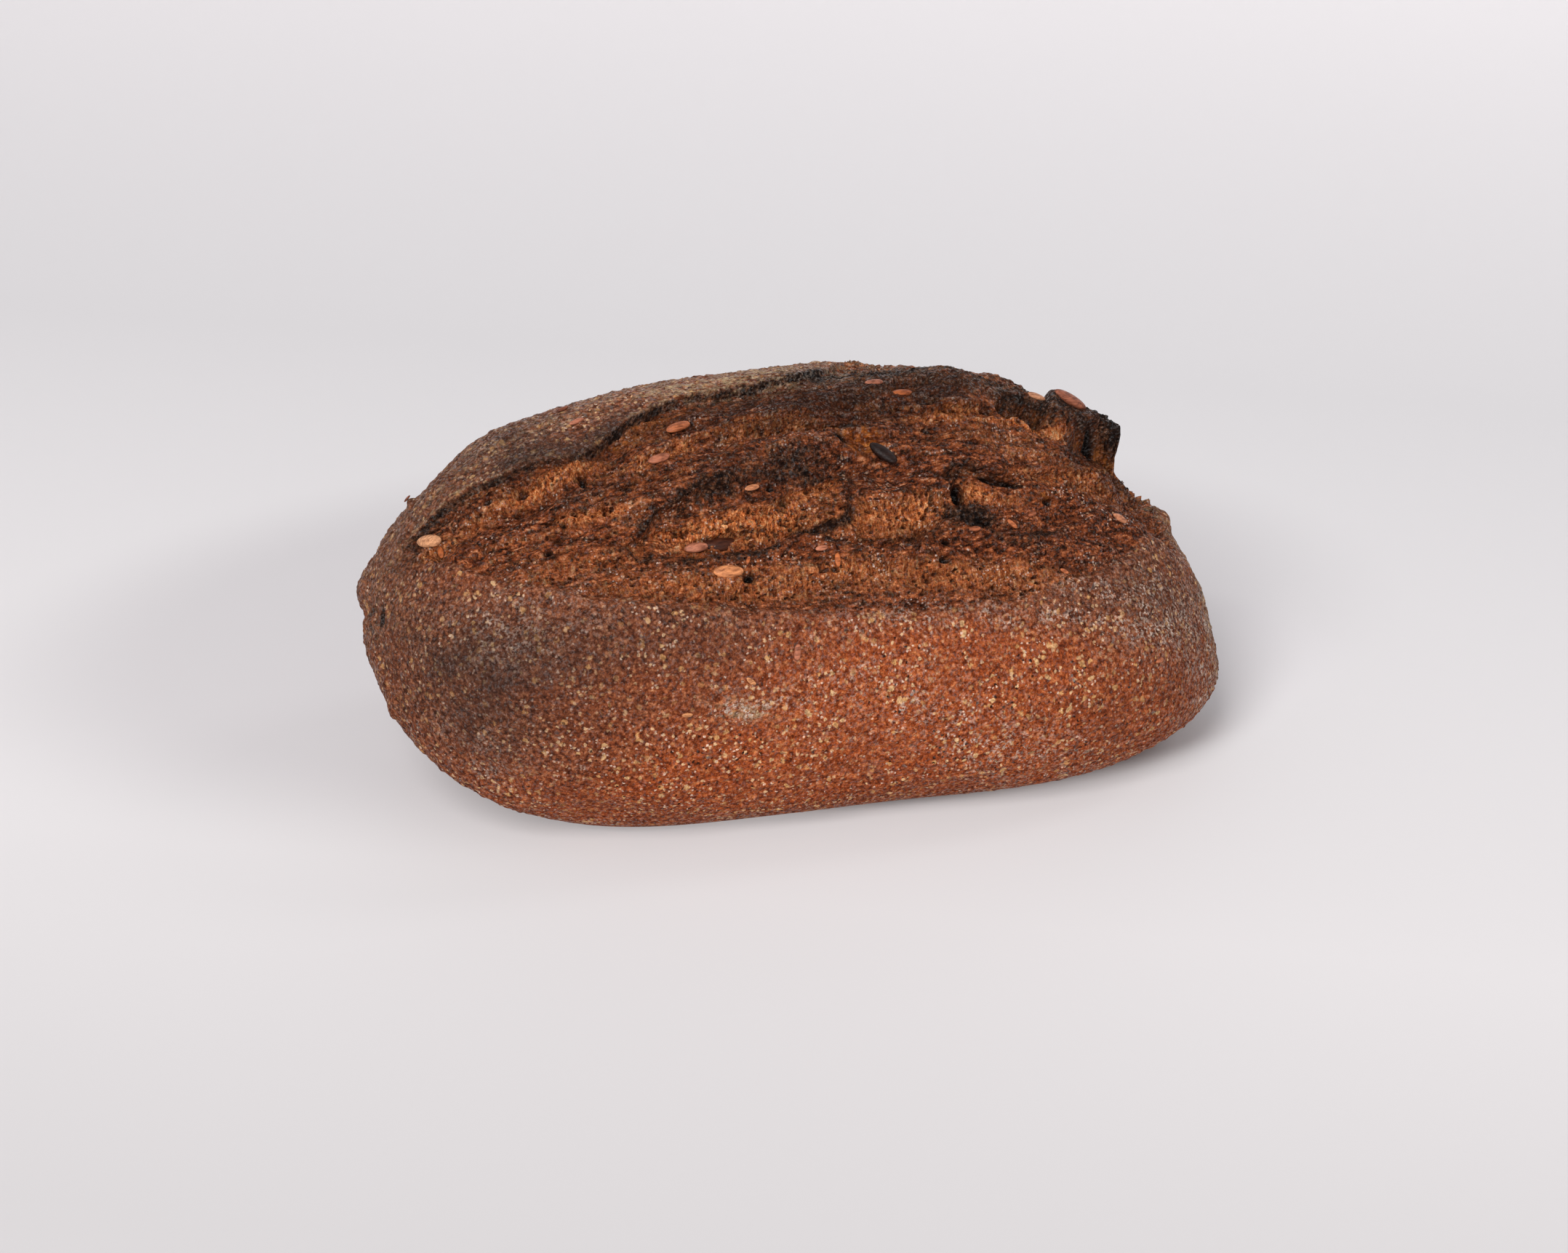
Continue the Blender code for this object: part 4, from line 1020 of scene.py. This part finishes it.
class Finish:
    """A material with short calls for the nodes that the finishes share."""

    def __init__(self, name):
        self.material = bpy.data.materials.new(name)
        self.material.use_nodes = True
        self.tree = self.material.node_tree
        self.place = self.add("TexCoord", {})["Object"]

    def put(self, value, socket):
        """Link an output to a socket, or set the socket to a plain value."""
        if isinstance(value, bpy.types.NodeSocket):
            self.tree.links.new(value, socket)
        elif value is not None:
            socket.default_value = value

    def add(self, kind, inputs, **settings):
        """Add a node with its settings and the values or links of its inputs; return its outputs."""
        node = self.tree.nodes.new("ShaderNode" + kind)
        for name, value in settings.items():
            setattr(node, name, value)
        for name, value in inputs.items():
            self.put(value, node.inputs[name])
        return node.outputs

    def show(self, looks):
        """Give the shader the values or links of its inputs."""
        shader = self.tree.nodes["Principled BSDF"]
        for name, value in looks.items():
            self.put(value, shader.inputs[name])

    def kept(self, name):
        """A number stored at every point of the mesh."""
        return self.add("Attribute", {}, attribute_name=name)["Fac"]

    def stretched(self, name):
        """The surface's place, stretched as the noise of this name is."""
        return self.add("Mapping", {"Vector": self.place, "Scale": STRETCH[name]})["Vector"]

    def noise(self, name):
        scale, detail, roughness = NOISE[name]
        place = self.stretched(name) if name in STRETCH else self.place
        inputs = {"Scale": scale, "Detail": detail, "Roughness": roughness, "Vector": place}
        return self.add("TexNoise", inputs)["Fac"]

    def patches(self, name):
        """1 where the noise of this name is strong and 0 where it is weak."""
        return self.step(self.noise(name), *PATCHES[name])

    def cells(self, scale, place):
        """Random cells: the distance to each middle, and one random number a cell."""
        cell = self.add("TexVoronoi", {"Scale": scale, "Vector": place})
        return cell["Distance"], self.add("SeparateColor", {"Color": cell["Color"]})["Red"]

    def net(self, scale, width, place):
        """Thin lines along the edges of random cells."""
        cell = self.add("TexVoronoi", {"Scale": scale, "Vector": place}, feature="DISTANCE_TO_EDGE")
        return self.step(cell["Distance"], width, 0.0)

    def along(self, direction):
        """How far a place is along a direction, in metres, with 0.5 at the middle of the floor."""
        inputs = {0: self.place, 1: direction}
        return self.sums("ADD", self.add("VectorMath", inputs, operation="DOT_PRODUCT")["Value"], 0.5)

    def oval(self, middle, half_sizes):
        """How far a place is from the middle of an oval, where its edge is 1."""
        inputs = {"Vector": self.place, "Location": middle, "Scale": half_sizes}
        place = self.add("Mapping", inputs, vector_type="TEXTURE")["Vector"]
        return self.add("VectorMath", {0: place}, operation="LENGTH")["Value"]

    def warped(self, scale, amount, place=None):
        """The surface's place, pushed about at random so that cells lose their round shape."""
        random = self.add("TexNoise", {"Scale": scale, "Vector": self.place})["Color"]
        inputs = {0: random, 1: (amount, amount, amount), 2: place or self.place}
        return self.add("VectorMath", inputs, operation="MULTIPLY_ADD")["Vector"]

    def sums(self, operation, *values):
        return self.add("Math", dict(enumerate(values)), operation=operation)["Value"]

    def times(self, first, *others):
        for other in others:
            first = self.sums("MULTIPLY", first, other)
        return first

    def scaled(self, value, gain_and_start):
        return self.sums("MULTIPLY_ADD", value, *gain_and_start)

    def step(self, value, low, high):
        """0 below low and 1 above high, or the other way round when high is the lower one."""
        inputs = {"Value": value, "From Min": low, "From Max": high}
        return self.add("MapRange", inputs, interpolation_type="SMOOTHSTEP")["Result"]

    def ramp(self, value, stops):
        """A colour that runs through the stops (value, red, green, blue)."""
        node = self.tree.nodes.new("ShaderNodeValToRGB")
        marks = node.color_ramp.elements
        while len(marks) < len(stops):
            marks.new(0.5)
        for mark, (where, *colour) in zip(marks, stops):
            mark.position = where
            mark.color = (*colour, 1.0)
        self.put(value, node.inputs["Fac"])
        return node.outputs["Color"]

    def mix(self, share, first, second, blend="MIX"):
        node = self.tree.nodes.new("ShaderNodeMix")
        node.data_type = "RGBA"
        node.blend_type = blend
        self.put(share, node.inputs["Factor"])
        for value, name in ((first, "A"), (second, "B")):
            socket = next(s for s in node.inputs if s.name == name and s.type == "RGBA")
            self.put((*value, 1.0) if isinstance(value, tuple) else value, socket)
        return next(s for s in node.outputs if s.type == "RGBA")

    def lay(self, name, share, below):
        """Lay the single colour of this name over another colour."""
        *colour, amount = COLOURS[name]
        return self.mix(self.times(share, amount), below, light(*colour))

    def bump(self, height, sizes, below=None):
        distance, strength = sizes
        inputs = {"Strength": strength, "Distance": distance, "Height": height, "Normal": below}
        return self.add("Bump", inputs)["Normal"]


def flecks(finish, colour, kind, shown):
    """Lay flecks over a colour on a share of random cells, with uneven edges."""
    scale, reach, chance, fleck, amount = kind
    fineness, push_length = FLECK_WARP
    distance, draw = finish.cells(scale, finish.warped(scale * fineness, push_length / scale))
    shape = finish.step(distance, reach, reach * FLECK_CORE)
    spot = finish.times(shape, finish.step(draw, 1.0 - chance, FLECK_DRAW_END - chance))
    return finish.mix(finish.times(spot, shown, amount), colour, light(*fleck))


def crust_colour(finish):
    """Orange-brown skin with tan and pale flecks, and dark lines between its grains."""
    tone = finish.noise("skin")
    orange = finish.kept("orange")
    dull, fresh = (finish.ramp(tone, tones_of(name)) for name in ("dull_skin", "skin"))
    colour = finish.mix(orange, dull, fresh)
    lines = finish.net(*GRAIN_NET, finish.warped(*GRAIN_WARP))
    colour = finish.lay("grain_lines", lines, colour)
    lively = finish.times(finish.scaled(orange, LIVELY_BY_ORANGE),
                          finish.scaled(finish.patches("fleck_clusters"), LIVELY_BY_CLUSTERS))
    for kind in CRUST_FLECKS:
        colour = flecks(finish, colour, kind, lively)
    return colour


def crumb_colour(finish):
    """Torn crumb: brown and streaky, and orange with pale fibres where it tore last, with painted glints
    gathered in patches.
    """
    bright = finish.kept("bright")
    old = finish.ramp(finish.noise("old_crumb"), tones_of("old_crumb"))
    fresh = finish.ramp(finish.noise("fresh_crumb"), tones_of("fresh_crumb"))
    strands = finish.net(*STRAND_NET, finish.warped(*STRAND_WARP, finish.stretched("fresh_crumb")))
    shown = finish.times(strands, finish.scaled(bright, STRANDS_BY_BRIGHT))
    colour = finish.lay("strands", shown, finish.mix(bright, old, fresh))
    colour = flecks(finish, colour, DARK_CRUMB_FLECKS, 1.0)
    # Painted glints: pale flecks gathered in patches
    glint_clusters = finish.patches("crumb_clusters")
    for kind in CRUMB_GLINT_FLECKS:
        colour = flecks(finish, colour, kind, glint_clusters)
    return colour


def baked_darker(finish, colour):
    """Scorched areas, and the painted shade under the ear, are dimmer; charred ones, and the painted
    shade under the ear and in the end folds, go black in patches.
    """
    char_and_shade = finish.kept("char_and_shade")
    dimmed = finish.mix(finish.kept("torn"), light(*SCORCHED_CRUST), light(*SCORCHED_CRUMB))
    colour = finish.mix(finish.kept("scorch_and_shade"), colour, dimmed)
    burnt = finish.ramp(finish.noise("burnt"), tones_of("burnt"))
    burnt = finish.lay("soot", finish.step(char_and_shade, *SOOT_START), burnt)
    burn = finish.sums("ADD", char_and_shade, finish.scaled(finish.noise("burn_edge"), BURN_RAGGEDNESS))
    charred_and_shaded = finish.times(finish.step(burn, *BURN_START), finish.step(char_and_shade, *CHAR_START))
    return finish.mix(charred_and_shaded, colour, burnt)


def loaf_finish():
    finish = Finish("baked_crust_and_crumb")
    torn = finish.kept("torn")
    colour = finish.mix(torn, crust_colour(finish), crumb_colour(finish))
    colour = finish.lay("flour", finish.times(finish.kept("flour"), finish.patches("dust")), colour)
    honey = finish.ramp(finish.noise("honey"), tones_of("honey"))
    colour = finish.mix(finish.times(finish.kept("amber"), AMBER_SHOWN), colour, honey)
    colour = baked_darker(finish, colour)
    crowds = finish.times(finish.kept("specks"), finish.patches("speck_crowds"))
    colour = finish.lay("specks", finish.times(crowds, finish.patches("speck_grains")), colour)
    speckle = finish.ramp(finish.noise("speckle"), tones_of("speckle"))
    colour = finish.mix(SPECKLE_SHOWN, colour, speckle, "MULTIPLY")
    # Painted shade in the low spots of the fine relief
    colour = finish.lay("deep", finish.step(finish.kept("relief"), *LOW_RELIEF_SHADE), colour)
    shine = finish.patches("shine")
    bubbles, _ = finish.cells(BUBBLE_CELLS, finish.warped(*GRAIN_WARP))
    bubbly = finish.times(bubbles, finish.scaled(torn, BUBBLES_BY_TORN))
    grains = finish.bump(finish.sums("ADD", bubbly, finish.noise("grains")), GRAIN_BUMP)
    finish.show({
        # Painted shade in the holes and under the ledges
        "Base Color": finish.lay("hole_and_ledge_shade", finish.kept("hole_and_ledge_shade"), colour),
        "Roughness": finish.scaled(shine, ROUGHNESS_BY_SHINE),
        "Specular IOR Level": finish.scaled(shine, SPECULAR_BY_SHINE),
        "Normal": finish.bump(finish.noise("fine_grains"), FINE_BUMP, grains),
    })
    return finish.material


def seed_finish():
    finish = Finish("flax_seed_skin")
    brown = finish.ramp(finish.kept("tone"), tones_of("seed"))
    pinkish = finish.lay("pink", finish.kept("pink"), brown)
    veins = finish.noise("veins")
    finish.show({
        "Base Color": finish.mix(VEINS_SHOWN, pinkish, finish.ramp(veins, tones_of("veins")), "MULTIPLY"),
        "Roughness": SEED_ROUGHNESS,
        "Specular IOR Level": SEED_SPECULAR,
        "Normal": finish.bump(veins, VEIN_BUMP),
    })
    return finish.material


def floor_finish():
    """Pale floor that glows a little, less so in the loaf's shade, with painted light in its tones and
    painted shade round the back and sides of the loaf.
    """
    finish = Finish("pale_floor")
    depth = finish.along(FLOOR_DIRECTION)
    # Painted shade round the back and sides of the loaf
    painted_shade = finish.step(finish.oval(*FLOOR_PAINTED_SHADE), *FLOOR_PAINTED_SHADE_EDGE)
    tone = finish.mix(painted_shade, finish.ramp(depth, FLOOR_TONES), FLOOR_PAINTED_SHADE_TONE, "MULTIPLY")
    shade = finish.step(finish.oval(*FLOOR_SHADE), *FLOOR_SHADE_EDGE)
    glow = finish.times(finish.scaled(finish.step(depth, *FLOOR_GLOW_SPAN), FLOOR_GLOW), shade)
    finish.show({
        "Base Color": finish.mix(glow, tone, light(*BLACK)),
        "Emission Color": tone,
        "Emission Strength": glow,
        "Roughness": FLOOR_ROUGHNESS,
    })
    return finish.material


def make_floor():
    """A pale floor that curves up into a paler backdrop."""
    profile = [(FLOOR_FRONT, 0.0), (FLOOR_BACK, 0.0)]
    for step in range(1, FLOOR_BEND_STEPS + 1):
        turn = math.pi / 2 * step / FLOOR_BEND_STEPS
        profile.append((FLOOR_BACK + FLOOR_BEND * math.sin(turn), FLOOR_BEND * (1.0 - math.cos(turn))))
    profile.append((FLOOR_BACK + FLOOR_BEND, FLOOR_TOP))
    points = []
    for y, z in profile:
        points += [(-FLOOR_HALF_WIDTH, y, z), (FLOOR_HALF_WIDTH, y, z)]
    faces = [(2 * row, 2 * row + 1, 2 * row + 3, 2 * row + 2) for row in range(len(profile) - 1)]
    floor = add_mesh("floor", np.array(points) / MM, faces, {})
    floor.data.materials.append(floor_finish())


def look_at(thing, place, target):
    thing.location = place
    thing.rotation_euler = (target - place).to_track_quat("-Z", "Y").to_euler()


def make_camera():
    camera = bpy.data.objects.new("camera", bpy.data.cameras.new("camera"))
    bpy.context.scene.collection.objects.link(camera)
    camera.data.lens = CAMERA_LENS
    shift = Vector((*BOX_MIDDLE, 0.0))
    look_at(camera, (Vector(CAMERA_PLACE) - shift) * MM, (Vector(CAMERA_TARGET) - shift) * MM)
    bpy.context.scene.camera = camera


def make_light(name, place, target, size, power):
    lamp = bpy.data.lights.new(name, "AREA")
    lamp.shape = "DISK"
    lamp.size = size
    lamp.energy = power
    holder = bpy.data.objects.new(name, lamp)
    bpy.context.scene.collection.objects.link(holder)
    look_at(holder, Vector(place), Vector(target))


def make_studio():
    for lamp in LIGHTS:
        make_light(*lamp)
    world = bpy.data.worlds.new("studio")
    bpy.context.scene.world = world
    world.use_nodes = True
    background = world.node_tree.nodes["Background"]
    background.inputs["Color"].default_value = SKY_COLOUR
    background.inputs["Strength"].default_value = SKY_STRENGTH
    bpy.context.scene.view_settings.view_transform = "Standard"


def main():
    make_camera()
    make_studio()
    make_floor()
    loaf = make_loaf()
    loaf.data.materials.append(loaf_finish())
    seeds = make_seeds(loaf)
    seeds.data.materials.append(seed_finish())
    for piece, slot in ((loaf, "baked_crust"), (seeds, "flax_seed")):
        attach(piece, "root")
        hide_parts("loaf")


main()
